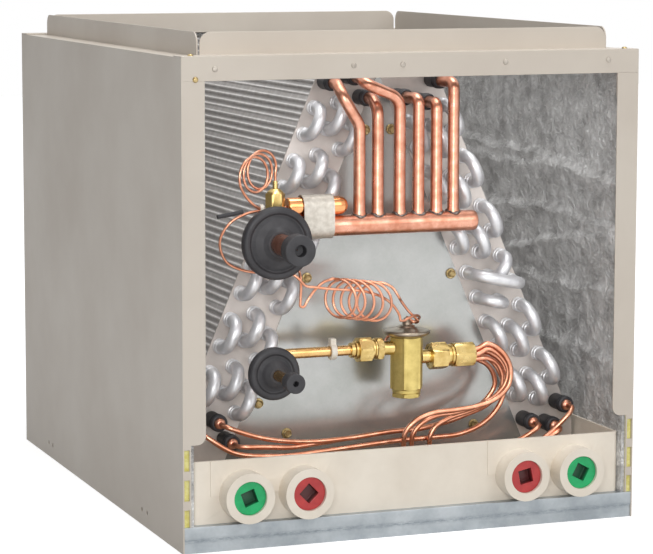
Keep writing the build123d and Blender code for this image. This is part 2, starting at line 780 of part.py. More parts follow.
def feeder_tube(foot_x, corners, end):
    """Riser from the header to the top of a circuit, cut to sit on the header."""
    end_x, end_z = tube_end(*end)
    spots = [point(foot_x, HEADER_DEPTH, HEADER_HEIGHT)]
    spots += [point(*corner) for corner in corners]
    spots.append(point(end_x, SLEEVE_MOUTH - 8.0, end_z))
    spots.append(point(end_x, COIL_FRONT, end_z))
    with BuildPart() as tube:
        add(bent_tube(spots, FEEDER_OUTER, FEEDER_SIDES, FEEDER_BEND))
        add(suction_line.part, mode=Mode.SUBTRACT)
    return tube.part


for number, (foot_x, corners, end) in enumerate(feeder_routes, 1):
    finish(feeder_tube(foot_x, corners, end), f"feeder_tube_{number}")


def sleeves(ends, outer, bore):
    """Rubber sleeves that stand on the front tube sheets round the given tubes."""
    with BuildPart() as group:
        with BuildSketch(upright(COIL_FRONT)):
            with Locations(*[tube_end(*end) for end in ends]):
                RegularPolygon(outer / 2, FEEDER_SIDES)
                RegularPolygon(bore / 2, FEEDER_SIDES, major_radius=False, mode=Mode.SUBTRACT)
        extrude(amount=SLEEVE_LENGTH)
    return group.part


feeder_bore = FEEDER_OUTER + 2 * FIT
feeder_ends = [end for foot_x, corners, end in feeder_routes]
finish(
    sleeves(feeder_ends, feeder_bore + 2 * SLEEVE_WALL, feeder_bore), "feeder_sleeves"
)

inlet_ends = [(row, 0, left) for left in (True, False) for row in range(ROWS)]
finish(
    sleeves(inlet_ends, INLET_SLEEVE_OUTER, INLET_STUB_OUTER + 2 * FIT), "inlet_sleeves"
)

INLET_STUB_LENGTH = SLEEVE_LENGTH + 3.0
with BuildPart() as inlet_stubs:
    with BuildSketch(upright(COIL_FRONT)):
        with Locations(*[tube_end(*end) for end in inlet_ends]):
            RegularPolygon(INLET_STUB_OUTER / 2, FEEDER_SIDES)
    extrude(amount=INLET_STUB_LENGTH)
finish(inlet_stubs.part, "inlet_stubs")


# ---------------------------------------------------------------- stub grommets and caps


def grommet(x, z, outer, bore):
    """A dished rubber grommet: a flat rim, a raised ring and a hub round the tube."""
    rim = outer / 2
    hole = bore / 2 + FIT
    with BuildPart() as disc:
        middle = point(x, GROMMET_DEPTH, z)
        with BuildSketch(Plane(origin=middle, x_dir=(1, 0, 0), z_dir=(0, 0, 1))):
            with BuildLine():
                Polyline(
                    (hole, 0),
                    (rim, 0),
                    (rim, -8.0),
                    (rim - 6.5, -8.0),
                    (rim - 7.5, -6.0),
                    (hole + 3.5, -15.0),
                    (hole, -15.0),
                    close=True,
                )
            make_face()
        revolve(axis=Axis(point(x, 0, z), (0, 1, 0)))
    return disc.part


finish(
    grommet(SUCTION_X, SUCTION_HEIGHT, SUCTION_GROMMET, SUCTION_OUTER), "suction_grommet"
)
finish(
    grommet(LIQUID_X, LIQUID_STUB_HEIGHT, LIQUID_GROMMET, LIQUID_OUTER), "liquid_grommet"
)


def stub_cap(x, z, bore, reach, wall, pocket):
    """A rubber cap pushed over a stub's end, with a small blind hole in its face."""
    with BuildPart() as cap:
        with BuildSketch(upright(-reach)):
            with Locations((x, z)):
                Circle(bore / 2 + wall)
        extrude(amount=3.0)
        with BuildSketch(upright(-reach)):
            with Locations((x, z)):
                Circle(bore / 2 + wall)
                Circle(bore / 2 + FIT, mode=Mode.SUBTRACT)
        extrude(amount=-11.0)
        with BuildSketch(upright(-reach - 3.0)):
            with Locations((x, z)):
                Circle(pocket / 2)
        extrude(amount=-2.0, mode=Mode.SUBTRACT)
    return cap.part


finish(
    stub_cap(SUCTION_X, SUCTION_HEIGHT, SUCTION_OUTER, SUCTION_REACH, 4.6, 10.5),
    "suction_cap",
)
finish(
    stub_cap(LIQUID_X, LIQUID_STUB_HEIGHT, LIQUID_OUTER, LIQUID_REACH, 4.2, 5.0),
    "liquid_cap",
)


# ---------------------------------------------------------------- liquid line and valve


def across(x):
    """The YZ plane at a place across, facing +X."""
    return Plane.YZ.offset(x)


def hex_nut(x, length, across_flats, z):
    """A hexagonal nut along X from x, on the valve's line."""
    with BuildPart() as nut:
        with BuildSketch(across(x)):
            with Locations((behind(VALVE_DEPTH), z)):
                RegularPolygon(across_flats / 2, 6, major_radius=False)
        extrude(amount=length)
    return nut.part


liquid_line = bent_tube(
    [
        point(LIQUID_X, -LIQUID_REACH, LIQUID_STUB_HEIGHT),
        point(LIQUID_X, 30.0, LIQUID_STUB_HEIGHT),
        point(LIQUID_X + 8.0, VALVE_DEPTH, LIQUID_HEIGHT),
        point(-46.0, VALVE_DEPTH, LIQUID_HEIGHT),
    ],
    LIQUID_OUTER,
    PIPE_SIDES,
    13.0,
)
finish(liquid_line, "liquid_line")

CLIP_X = -66.0
with BuildPart() as line_clip:
    with BuildSketch(across(CLIP_X)):
        with Locations((behind(VALVE_DEPTH), LIQUID_HEIGHT)):
            Circle(LIQUID_OUTER / 2 + 3.0)
            with Locations((0, 8.0)):
                Rectangle(7.0, 8.0)
            Circle(LIQUID_OUTER / 2 + FIT, mode=Mode.SUBTRACT)
    extrude(amount=5.5)
finish(line_clip.part, "line_clip")


def turned(profile, x, z):
    """A turned piece along X: (distance, radius) pairs of its outline from x."""
    with BuildPart() as piece:
        start = point(x, VALVE_DEPTH, z)
        with BuildSketch(Plane(origin=start, x_dir=(1, 0, 0), z_dir=(0, -1, 0))):
            with BuildLine():
                Polyline((0, 0), *profile, (profile[-1][0], 0), close=True)
            make_face()
        revolve(axis=Axis(point(x, VALVE_DEPTH, z), (1, 0, 0)))
    return piece.part


valve_face = VALVE_ACROSS / 2
with BuildPart() as inlet_fitting:
    add(turned([(0, 7.0), (4, 7.0), (4, 8.5), (7, 8.5)], -46.0, LIQUID_HEIGHT))
    add(hex_nut(-39.0, 13.0, NUT_ACROSS, LIQUID_HEIGHT))
    add(turned([(0, 9.0), (5, 9.0)], -26.0, LIQUID_HEIGHT))
    add(hex_nut(-21.0, 6.0, NUT_ACROSS - 2, LIQUID_HEIGHT))
    neck = VALVE_X - valve_face + 15.0
    add(turned([(0, 6.5), (neck, 6.5)], -15.0, LIQUID_HEIGHT))
finish(inlet_fitting.part, "inlet_fitting")

outlet_start = VALVE_X + valve_face
with BuildPart() as outlet_fitting:
    add(turned([(0, 6.5), (9, 6.5)], outlet_start, OUTLET_HEIGHT))
    add(hex_nut(outlet_start + 9, 16.0, NUT_ACROSS + 1, OUTLET_HEIGHT))
finish(outlet_fitting.part, "outlet_fitting")

distributor_start = outlet_start + 25
distributor_length = DISTRIBUTOR_FACE_X - distributor_start
with BuildPart() as distributor:
    collar = [(0, 10.0), (2.5, 10.0), (2.5, 9.0), (4.5, 9.0), (4.5, 10.0), (7, 10.0)]
    add(turned(collar, distributor_start, OUTLET_HEIGHT))
    add(
        hex_nut(
            distributor_start + 7,
            distributor_length - 7,
            NUT_ACROSS - 1,
            OUTLET_HEIGHT,
        )
    )
finish(distributor.part, "distributor")

valve_plane = Plane.XY.offset(VALVE_FOOT)
with BuildPart() as valve_body:
    with BuildSketch(valve_plane):
        with Locations((VALVE_X, behind(VALVE_DEPTH))):
            RegularPolygon(VALVE_ACROSS / 2, 6, major_radius=False, rotation=30)
    extrude(amount=VALVE_TOP - VALVE_FOOT)
    with BuildSketch(valve_plane):
        with Locations((VALVE_X, behind(VALVE_DEPTH))):
            Circle(VALVE_ACROSS / 2 - 0.6)
    extrude(amount=-3.5)
    with BuildSketch(valve_plane.offset(-3.5)):
        with Locations((VALVE_X, behind(VALVE_DEPTH))):
            RegularPolygon(VALVE_ACROSS / 2 - 1.8, 6, major_radius=False, rotation=30)
    extrude(amount=-4.0)
finish(valve_body.part, "valve_body")

head = POWER_HEAD_OUTER / 2
with BuildPart() as power_head:
    head_foot = point(VALVE_X, VALVE_DEPTH, VALVE_TOP)
    with BuildSketch(Plane(origin=head_foot, x_dir=(1, 0, 0), z_dir=(0, -1, 0))):
        with BuildLine():
            Polyline(
                (0, 0),
                (11.0, 0),
                (head, 5.0),
                (head, 6.6),
                (6.0, 10.4),
                (3.2, 10.4),
                (3.2, POWER_HEAD_HEIGHT),
                (0, POWER_HEAD_HEIGHT),
                close=True,
            )
        make_face()
    revolve(axis=Axis(point(VALVE_X, VALVE_DEPTH, 0), (0, 0, 1)))
finish(power_head.part, "power_head")


# ---------------------------------------------------------------- distributor tubes

# start on the distributor's face (depth and height off its axis), then the route, then the
# inlet stub that the tube ends on
STRAND_RING = 5.4
strand_routes = [
    (180, (2, 0, True), [
        (97, 38.0, 166), (119, 38.0, 153), (124, 38.0, 131), (110, 38.0, 110),
        (78, 38.0, 102), (40, 38.0, 97), (0, 38.0, 84), (-60, 38.0, 79), (-120, 38.0, 83),
    ]),
    (120, (1, 0, True), [
        (96, 43.5, 169), (115, 43.5, 157), (120, 43.5, 135), (106, 43.5, 113),
        (74, 43.5, 104), (30, 43.5, 95), (-20, 43.5, 86), (-90, 43.5, 88), (-140, 43.5, 96),
    ]),
    (240, (0, 0, True), [
        (94, 49.0, 157), (108, 49.0, 146), (111, 49.0, 128), (99, 49.0, 109),
        (68, 49.0, 96), (20, 49.0, 85), (-50, 49.0, 73), (-120, 49.0, 70), (-172, 49.0, 82),
    ]),
    (60, (2, 0, False), [
        (94, 54.5, 163), (107, 54.5, 152), (110, 54.5, 130), (96, 54.5, 106),
        (66, 54.5, 98), (42, 54.5, 84), (44, 54.5, 66), (70, 54.5, 58), (124, 54.5, 68),
    ]),
    (300, (1, 0, False), [
        (93, 60.0, 153), (103, 60.0, 142), (104, 60.0, 124), (90, 60.0, 104),
        (58, 60.0, 96), (30, 60.0, 82), (32, 60.0, 60), (62, 60.0, 48), (146, 60.0, 60),
    ]),
    (0, (0, 0, False), [
        (98, 65.2, 158), (116, 65.2, 148), (122, 65.2, 126), (116, 65.2, 100),
        (96, 65.2, 84), (86, 65.2, 70), (100, 65.2, 58), (140, 65.2, 66), (172, 60.0, 84),
    ]),
]


def strand(angle, end, route):
    """One distributor tube, from the distributor's face to its circuit's inlet stub."""
    side = STRAND_RING * math.cos(math.radians(angle))
    rise = STRAND_RING * math.sin(math.radians(angle))
    end_x, end_z = tube_end(*end)
    stub_face = COIL_FRONT - INLET_STUB_LENGTH
    spots = [
        point(DISTRIBUTOR_FACE_X, VALVE_DEPTH + side, OUTLET_HEIGHT + rise),
        point(DISTRIBUTOR_FACE_X + 6.0, VALVE_DEPTH + side, OUTLET_HEIGHT + rise),
    ]
    spots += [point(*spot) for spot in route]
    spots += [point(end_x, stub_face - 9.0, end_z), point(end_x, stub_face, end_z)]
    return chord_tube(spots, STRAND_OUTER, STRAND_SIDES)


for side_name, routes in (("left", strand_routes[:3]), ("right", strand_routes[3:])):
    with BuildPart() as strands:
        for angle, end, route in routes:
            add(strand(angle, end, route))
    finish(strands.part, f"{side_name}_distributor_tubes")


# ---------------------------------------------------------------- sensing bulb and capillaries

with BuildPart() as sensing_bulb:
    with BuildSketch(across(BULB_START_X)):
        with Locations((behind(HEADER_DEPTH), BULB_HEIGHT)):
            Circle(BULB_OUTER / 2)
    extrude(amount=BULB_LENGTH)
    chamfer(sensing_bulb.faces().sort_by(Axis.X)[-1].edges(), 4.0)
finish(sensing_bulb.part, "sensing_bulb")

STRAP_X = -66.0


def strap_loop(gap):
    """Outline of a band round the bulb and the header, a gap away from both."""
    with BuildSketch(mode=Mode.PRIVATE) as loop:
        with Locations((behind(HEADER_DEPTH), HEADER_HEIGHT)):
            Circle(SUCTION_OUTER / 2 + gap)
        with Locations((behind(HEADER_DEPTH), BULB_HEIGHT)):
            Circle(BULB_OUTER / 2 + gap)
        make_hull()
    return loop.sketch


with BuildPart() as bulb_strap:
    with BuildSketch(across(STRAP_X)):
        add(strap_loop(FIT + STRAP_SHEET))
        add(strap_loop(FIT), mode=Mode.SUBTRACT)
    extrude(amount=STRAP_WIDTH)
finish(bulb_strap.part, "bulb_strap")

FITTING_X = SUCTION_X + 7.0
FITTING_DEPTH = HEADER_DEPTH - 6.0
FITTING_FOOT = SUCTION_HEIGHT + 3.0
NUT_FOOT = HEADER_HEIGHT + SUCTION_OUTER / 2 + 8.0
FLARE_NUT = 16.0
FLARE_NUT_HEIGHT = 15.0
FLARE_CONE_HEIGHT = 4.0
FERRULE_HEIGHT = 7.0
FITTING_TOP = NUT_FOOT + FLARE_NUT_HEIGHT + FLARE_CONE_HEIGHT + FERRULE_HEIGHT


def fitting_sketch(height):
    """Plane across the fitting's axis at a height."""
    return Plane(origin=point(FITTING_X, FITTING_DEPTH, height))


with BuildPart() as equalizer_fitting:
    with BuildSketch(fitting_sketch(FITTING_FOOT)):
        Circle(5.0)
    extrude(amount=NUT_FOOT - FITTING_FOOT)
    with BuildSketch(fitting_sketch(NUT_FOOT)):
        RegularPolygon(FLARE_NUT / 2, 6, major_radius=False, rotation=30)
    extrude(amount=FLARE_NUT_HEIGHT)
    with BuildSketch(fitting_sketch(NUT_FOOT + FLARE_NUT_HEIGHT)):
        Circle(FLARE_NUT / 2 - 0.4)
    extrude(amount=FLARE_CONE_HEIGHT, taper=45)
    with BuildSketch(fitting_sketch(FITTING_TOP - FERRULE_HEIGHT)):
        Circle(2.2)
    extrude(amount=FERRULE_HEIGHT)
    add(suction_line.part, mode=Mode.SUBTRACT)
finish(equalizer_fitting.part, "equalizer_fitting")


def coil_turns(start, end, radius, turns, per_turn, first_angle, tilt):
    """Points of a coil whose turns face the front: x and z go round, the depth moves on."""
    count = int(turns * per_turn)
    spots = []
    for n in range(count + 1):
        share = n / count
        angle = math.radians(first_angle + 360.0 * turns * share)
        x = start[0] + (end[0] - start[0]) * share + radius * math.cos(angle)
        depth = start[1] + (end[1] - start[1]) * share + tilt * math.cos(angle)
        z = start[2] + (end[2] - start[2]) * share + radius * math.sin(angle)
        spots.append(point(x, depth, z))
    return spots


# the equalizer tube ends on a rear flat of the valve body
PORT_HEIGHT = 165.0
port_turn = math.radians(120)
port_spots = [
    point(
        VALVE_X + reach * math.cos(port_turn),
        VALVE_DEPTH + reach * math.sin(port_turn),
        PORT_HEIGHT,
    )
    for reach in (VALVE_ACROSS / 2 + 14.0, VALVE_ACROSS / 2)
]
loops = coil_turns((-137.0, 41.0, 343.0), (-142.0, 24.0, 339.0), 16.0, 2.5, 8, 0.0, 0.0)
equalizer_points = [
    point(FITTING_X, FITTING_DEPTH, FITTING_TOP),
    point(FITTING_X, FITTING_DEPTH, FITTING_TOP + 6.0),
]
equalizer_points += loops[1:]
equalizer_points += [
    point(-154.0, 23.0, 322.0),
    point(-140.0, 25.0, 307.0),
    point(-152.0, 27.0, 300.0),
    point(-168.0, 30.0, 293.0),
    point(-176.0, 33.0, 276.0),
    point(-168.0, 35.0, 256.0),
    point(-150.0, 36.0, 248.0),
    point(-120.0, 37.0, 250.0),
    point(-100.0, 41.0, 246.0),
    point(-97.0, 41.0, 232.0),
    point(-84.0, 41.0, 225.0),
    point(-40.0, 41.0, 219.0),
    point(-18.0, 50.0, 210.0),
    point(-13.0, 66.0, 196.0),
    point(-9.0, 76.0, 180.0),
]
equalizer_points += port_spots
finish(chord_tube(equalizer_points, CAPILLARY_OUTER, CAPILLARY_SIDES), "equalizer_tube")

capillary_points = [
    point(BULB_START_X, HEADER_DEPTH, BULB_HEIGHT),
    point(BULB_START_X - 4.5, HEADER_DEPTH, BULB_HEIGHT),
    point(BULB_START_X - 4.5, 60.0, 299.0),
    point(-106.0, 64.0, 285.0),
    point(-104.0, 62.0, 262.0),
    point(-94.0, 51.0, 246.0),
    point(-87.0, 36.0, 240.0),
    point(-82.0, 24.0, 234.0),
]
capillary_points += coil_turns((-66.0, 27.0, 226.0), (-16.0, 27.0, 224.0), 16.0, 5.25, 8, 180.0, 9.0)
capillary_points += [
    point(-6.0, 32.0, 206.0),
    point(4.0, 41.0, 210.0),
    point(VALVE_X, VALVE_DEPTH, 204.0),
    point(VALVE_X, VALVE_DEPTH, VALVE_TOP + POWER_HEAD_HEIGHT),
]
finish(chord_tube(capillary_points, CAPILLARY_OUTER, CAPILLARY_SIDES), "bulb_capillary")
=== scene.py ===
import math

import bpy
import bmesh
import numpy as np
from mathutils import Matrix


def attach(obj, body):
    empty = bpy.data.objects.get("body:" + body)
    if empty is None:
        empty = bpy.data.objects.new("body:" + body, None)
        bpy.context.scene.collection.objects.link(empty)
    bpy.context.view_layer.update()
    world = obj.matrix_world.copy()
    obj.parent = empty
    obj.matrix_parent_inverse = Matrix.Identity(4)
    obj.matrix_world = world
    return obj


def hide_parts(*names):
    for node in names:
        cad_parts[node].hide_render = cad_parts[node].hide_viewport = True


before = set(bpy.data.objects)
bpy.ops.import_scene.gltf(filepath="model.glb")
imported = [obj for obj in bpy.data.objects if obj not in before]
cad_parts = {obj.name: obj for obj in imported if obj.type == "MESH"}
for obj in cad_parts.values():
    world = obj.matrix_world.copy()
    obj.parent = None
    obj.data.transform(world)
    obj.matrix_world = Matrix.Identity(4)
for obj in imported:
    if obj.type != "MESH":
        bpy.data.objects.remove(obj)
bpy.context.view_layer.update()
scene = bpy.context.scene

# A cased A-coil evaporator. Sizes are millimetres across (x), behind the casing's front (depth)
# and up (z). place() turns them to metres in the frame.

CASE_FRONT = -257.5
LINING_FACE = 211.8
LINING_FRONT = 2.4
LINING_BACK = 557.6
LINING_LOW = 24.0
LINING_HIGH = 439.6
COIL_FRONT = 95.0
COIL_BACK = 513.0
COIL_TILT = math.radians(23.0)
TUBE_PITCH = 26.3
ROW_SPACING = 19.0
FIRST_ROW = 8.5
SLAB_DEPTH = 55.0
SLAB_LENGTH = 394.5
OUTER_TOP = (51.2, 439.5)
TUBE_RADIUS = 5.75
BEND_LEG = 13.0
CROSS_LEG = 22.0
HEADER = (47.0, 283.0)
VALVE_X = 10.6
VALVE_DEPTH = 47.0
LIQUID_Z = 167.0
OUTLET_Z = 157.0
SUCTION_STUB = (-128.0, 273.0)
LIQUID_STUB = (-131.0, 155.0)

TILT = (math.sin(COIL_TILT), math.cos(COIL_TILT))
FOOT = (OUTER_TOP[0] + SLAB_LENGTH * TILT[0], OUTER_TOP[1] - SLAB_LENGTH * TILT[1])


def place(points):
    """Points in millimetres (x, depth, z) as metres in the frame."""
    return (np.asarray(points, float) + (0.0, CASE_FRONT, 0.0)) * 0.001


# ---------------------------------------------------------------- finishes


def linear(code):
    """An sRGB hex colour as linear RGBA."""
    channels = np.array([int(code[n : n + 2], 16) for n in (1, 3, 5)]) / 255
    low = channels / 12.92
    high = ((channels + 0.055) / 1.055) ** 2.4
    return (*np.where(channels <= 0.04045, low, high), 1.0)


def add(tree, kind, inputs=None, **settings):
    """Add one node to a tree, with its own settings, and its inputs as values or links."""
    made = tree.nodes.new(kind)
    for name, value in settings.items():
        setattr(made, name, value)
    for name, value in (inputs or {}).items():
        if isinstance(value, bpy.types.NodeSocket):
            tree.links.new(value, made.inputs[name])
        else:
            made.inputs[name].default_value = value
    return made


def new_finish(name, **values):
    """A material with a plain shader: (material, tree, shader, position socket)."""
    material = bpy.data.materials.new(name)
    material.use_nodes = True
    tree = material.node_tree
    shader = tree.nodes["Principled BSDF"]
    for socket, value in values.items():
        shader.inputs[socket.replace("_", " ")].default_value = value
    position = add(tree, "ShaderNodeTexCoord").outputs["Object"]
    return material, tree, shader, position


def overlay(tree, shader, share, colour, **settings):
    """Lay a colour, a value or a link, over the finish's own colour by a share."""
    own = shader.inputs["Base Color"].links[0].from_socket
    mixed = add(tree, "ShaderNodeMix", {0: share, 6: own, 7: colour}, data_type="RGBA", **settings)
    tree.links.new(mixed.outputs[2], shader.inputs["Base Color"])


def mottled(name, pale, deep, patch, rough, grain=0.0, relief=0.0, **values):
    """A finish that drifts between two colours in soft patches of a size in millimetres.

    Roughness drifts with the colour between two values. A grain in millimetres adds a relief,
    in millimetres too.
    """
    material, tree, shader, position = new_finish(name, **values)
    cloud = add(
        tree,
        "ShaderNodeTexNoise",
        {"Vector": position, "Scale": 1000 / patch, "Detail": 4.0, "Roughness": 0.6},
    )
    share = add(
        tree,
        "ShaderNodeMapRange",
        {"Value": cloud.outputs["Fac"], "From Min": 0.35, "From Max": 0.65},
    )
    colour = add(
        tree,
        "ShaderNodeMix",
        {0: share.outputs[0], 6: linear(deep), 7: linear(pale)},
        data_type="RGBA",
    )
    tree.links.new(colour.outputs[2], shader.inputs["Base Color"])
    gloss = add(
        tree,
        "ShaderNodeMapRange",
        {"Value": cloud.outputs["Fac"], "From Min": 0.3, "From Max": 0.7}
        | {"To Min": rough[1], "To Max": rough[0]},
    )
    tree.links.new(gloss.outputs[0], shader.inputs["Roughness"])
    if grain:
        fine = add(
            tree,
            "ShaderNodeTexNoise",
            {"Vector": position, "Scale": 1000 / grain, "Detail": 2.0},
        )
        bump = add(
            tree,
            "ShaderNodeBump",
            {"Height": fine.outputs["Fac"], "Distance": relief / 1000, "Strength": 1.0},
        )
        tree.links.new(bump.outputs[0], shader.inputs["Normal"])
    return material, tree, shader, position


# Powder coat sprayed on sheet steel: satin, with a faint orange peel about 1 mm across.
powder_coat = mottled(
    "powder_coated_steel", "#CBC2B6", "#C4BAAE", 140, (0.42, 0.5), grain=1.1, relief=0.02
)[0]

# Injection-moulded polymer of the pan: warm off-white, dull, slightly uneven.
pan_polymer = mottled(
    "moulded_pan_polymer", "#EAE1D3", "#DFD5C6", 60, (0.42, 0.55), grain=0.8, relief=0.015
)[0]

PLUG_FACE = -0.2675  # Y of the plugs' faces


def plug_polymer(name, pale, deep, sunk):
    """Moulded, pigmented polypropylene, smooth and a little glossy.

    The square socket is made dark by painted shade, by its depth and not by any dirt: from
    0.7 mm to 4.7 mm behind the plug's face the colour falls to the sunk one.
    """
    material, tree, shader, position = mottled(
        name, pale, deep, 9, (0.3, 0.4), grain=0.5, relief=0.02
    )
    # Painted shade in the socket: the colour darkens with depth behind the plug's face.
    depth = add(tree, "ShaderNodeSeparateXYZ", {"Vector": position}).outputs["Y"]
    inside = add(
        tree,
        "ShaderNodeMapRange",
        {"Value": depth, "From Min": PLUG_FACE + 0.0007, "From Max": PLUG_FACE + 0.0047}
        | {"To Max": 0.92},
    )
    overlay(tree, shader, inside.outputs[0], linear(sunk))
    return material


# The third colour of each plug is the painted shade deep in its socket.
green_plug = plug_polymer("moulded_green_polypropylene", "#0DAF68", "#0A9A5A", "#0B3A26")
red_plug = plug_polymer("moulded_red_polypropylene", "#BC3A38", "#A83032", "#3A1010")

# Drawn aluminium tube bent cold: white metal with a soft, slightly streaked sheen.
drawn_aluminium = mottled(
    "drawn_aluminium_tube", "#E4E4E6", "#D2D2D5", 11, (0.36, 0.48), Metallic=0.55
)[0]

# Galvanised tube sheets: dull zinc with a warm cast.
dull_zinc = mottled(
    "dull_galvanised_sheet", "#D3CBC5", "#C6BEB8", 30, (0.42, 0.55), grain=2.0, relief=0.01,
    Metallic=0.5,
)[0]

# Nylon clip and cable tie: translucent natural polymer.
nylon = mottled("natural_nylon", "#F1EBDF", "#E6DDCC", 6, (0.35, 0.5))[0]

# Moulded rubber: charcoal, dull, with a dusty bloom.
rubber = mottled(
    "moulded_rubber", "#343336", "#29282B", 14, (0.5, 0.66), grain=0.9, relief=0.03
)[0]

# Stainless strip of the bulb's strap.
strap_steel = mottled(
    "rolled_stainless_strip", "#CFC9BF", "#BDB6AB", 4, (0.42, 0.55), Metallic=0.6
)[0]

# Power head: pressed steel plated a pale champagne.
plated_steel = mottled(
    "plated_pressed_steel", "#A79C8C", "#857A6C", 10, (0.26, 0.4), Metallic=1.0
)[0]

# Brass: machined nuts are bright, the forged valve body is matt.
machined_brass = mottled(
    "machined_brass", "#DDC486", "#C2A565", 10, (0.24, 0.36), Metallic=1.0
)[0]
forged_brass = mottled(
    "forged_brass", "#CFBC79", "#B8A565", 14, (0.5, 0.6), grain=1.0, relief=0.02,
    Metallic=1.0,
)[0]
drawn_brass = mottled(
    "drawn_brass_tube", "#E0BC85", "#CBA063", 20, (0.2, 0.32), Metallic=1.0
)[0]

# Yellow-zinc plated screws.
plated_screw = mottled(
    "yellow_zinc_plated_steel", "#C4AF80", "#84714A", 3.5, (0.3, 0.45), Metallic=0.9
)[0]
painted_screw = mottled(
    "painted_screw_steel", "#C9C1B6", "#A69D92", 4, (0.35, 0.5), Metallic=0.2
)[0]
# Braze: grey silver alloy with a burnt, uneven skin.
braze = mottled(
    "silver_braze_alloy", "#8F8680", "#4F4744", 2.5, (0.4, 0.6), grain=1.2, relief=0.3,
    Metallic=0.8,
)[0]
# Fibreglass core of the lining: yellow wool, matt.
fibreglass = mottled(
    "yellow_fibreglass", "#EDE7A0", "#D8CE72", 5, (0.85, 0.95), grain=1.2, relief=0.5
)[0]


def copper_finish(name, pale, deep, rough):
    """Drawn copper: pinkish metal with a satin skin, browned here and there by handling.

    Brown patches about 25 mm long come from a second cloud that only darkens its highest
    parts.
    """
    material, tree, shader, position = mottled(name, pale, deep, 9, rough, Metallic=1.0)
    spots = add(
        tree,
        "ShaderNodeTexNoise",
        {"Vector": position, "Scale": 1000 / 25, "Detail": 3.0, "Roughness": 0.65},
    )
    tarnish = add(
        tree,
        "ShaderNodeMapRange",
        {"Value": spots.outputs["Fac"], "From Min": 0.54, "From Max": 0.76, "To Max": 0.55},
    )
    overlay(tree, shader, tarnish.outputs[0], linear("#9A6550"))
    return material


copper = copper_finish("drawn_copper_tube", "#DDA68F", "#C5856B", (0.26, 0.4))
thin_copper = copper_finish("annealed_copper_capillary", "#E3A68A", "#CF8A6B", (0.24, 0.36))
bright_copper = mottled(
    "polished_copper_bulb", "#EFAE7A", "#DE955F", 16, (0.16, 0.26), Metallic=1.0
)[0]


def galvanised(name, pale, deep, rough, spangle):
    """Hot-dip galvanised steel: flat crystals of a size in millimetres, each a little lighter
    or darker, under a fine grey speckle."""
    material, tree, shader, position = mottled(
        name, pale, deep, spangle * 15, rough, Metallic=0.7
    )
    crystals = add(
        tree,
        "ShaderNodeTexVoronoi",
        {"Vector": position, "Scale": 1000 / spangle, "Randomness": 1.0},
    )
    shade = add(
        tree,
        "ShaderNodeMapRange",
        {"Value": crystals.outputs["Color"], "To Min": 0.97, "To Max": 1.02},
    )
    overlay(tree, shader, 1.0, shade.outputs[0], blend_type="MULTIPLY")
    return material, tree, shader, position


zinc_plate = galvanised("galvanised_plate", "#B4B5B3", "#ABADAA", (0.2, 0.26), 2.0)[0]


def rail_zinc():
    """Roll-formed galvanised rail: pale above, dark speckle along the step in its middle."""
    material, tree, shader, position = galvanised(
        "roll_formed_galvanised_rail", "#B0B6BA", "#979EA3", (0.34, 0.46), 2.5
    )
    height = add(tree, "ShaderNodeSeparateXYZ", {"Vector": position}).outputs["Z"]
    near = add(
        tree,
        "ShaderNodeMath",
        {0: height, 1: 0.0115},
        operation="SUBTRACT",
    )
    band = add(tree, "ShaderNodeMath", {0: near.outputs[0]}, operation="ABSOLUTE")
    inside = add(
        tree,
        "ShaderNodeMapRange",
        {"Value": band.outputs[0], "From Min": 0.0005, "From Max": 0.0032}
        | {"To Min": 1.0, "To Max": 0.0},
    )
    stretched = add(
        tree, "ShaderNodeMapping", {"Vector": position, "Scale": (140.0, 400.0, 600.0)}
    )
    speckle = add(
        tree,
        "ShaderNodeTexNoise",
        {"Vector": stretched.outputs[0], "Scale": 1.0, "Detail": 5.0, "Roughness": 0.8},
    )
    dark = add(
        tree,
        "ShaderNodeMapRange",
        {"Value": speckle.outputs["Fac"], "From Min": 0.38, "From Max": 0.62, "To Max": 0.8},
    )
    amount = add(
        tree, "ShaderNodeMath", {0: inside.outputs[0], 1: dark.outputs[0]}, operation="MULTIPLY"
    )
    overlay(tree, shader, amount.outputs[0], linear("#727B82"))
    return material


galvanised_rail = rail_zinc()


def foil_finish():
    """Aluminium foil facing, crumpled: fine fibrous creases a few millimetres apart carry pale
    flecks of painted highlight on their crests, and the hollows between them stay grey."""
    material, tree, shader, position = mottled(
        "crumpled_foil_facing", "#F2F2F1", "#B4B3B2", 26, (0.3, 0.42), Metallic=0.2
    )
    warp = add(
        tree, "ShaderNodeTexNoise", {"Vector": position, "Scale": 1000 / 18, "Detail": 3.0}
    )
    moved = add(
        tree,
        "ShaderNodeVectorMath",
        {0: warp.outputs["Color"], 1: (0.02, 0.02, 0.02), 2: position},
        operation="MULTIPLY_ADD",
    )
    slanted = add(
        tree,
        "ShaderNodeMapping",
        {"Vector": moved.outputs[0], "Rotation": (0.4, 0.0, 0.0), "Scale": (150, 70, 230)},
    )
    fibres = add(
        tree,
        "ShaderNodeTexNoise",
        {"Vector": slanted.outputs[0], "Scale": 1.0, "Detail": 5.0, "Roughness": 0.75},
    )
    creases = add(
        tree,
        "ShaderNodeTexVoronoi",
        {"Vector": moved.outputs[0], "Scale": 1000 / 9},
        feature="DISTANCE_TO_EDGE",
    )
    height = add(
        tree,
        "ShaderNodeMath",
        {0: fibres.outputs["Fac"], 1: 1.6, 2: creases.outputs["Distance"]},
        operation="MULTIPLY_ADD",
    )
    bump = add(
        tree,
        "ShaderNodeBump",
        {"Height": height.outputs[0], "Distance": 0.0032, "Strength": 1.0},
    )
    tree.links.new(bump.outputs[0], shader.inputs["Normal"])
    # Painted highlight: pale flecks where the fibres of the bump stand high.
    painted_highlight_flecks = add(
        tree,
        "ShaderNodeMapRange",
        {"Value": fibres.outputs["Fac"], "From Min": 0.5, "From Max": 0.68, "To Max": 0.75},
    )
    overlay(tree, shader, painted_highlight_flecks.outputs[0], linear("#FBFBFA"))
    return material


foil = foil_finish()


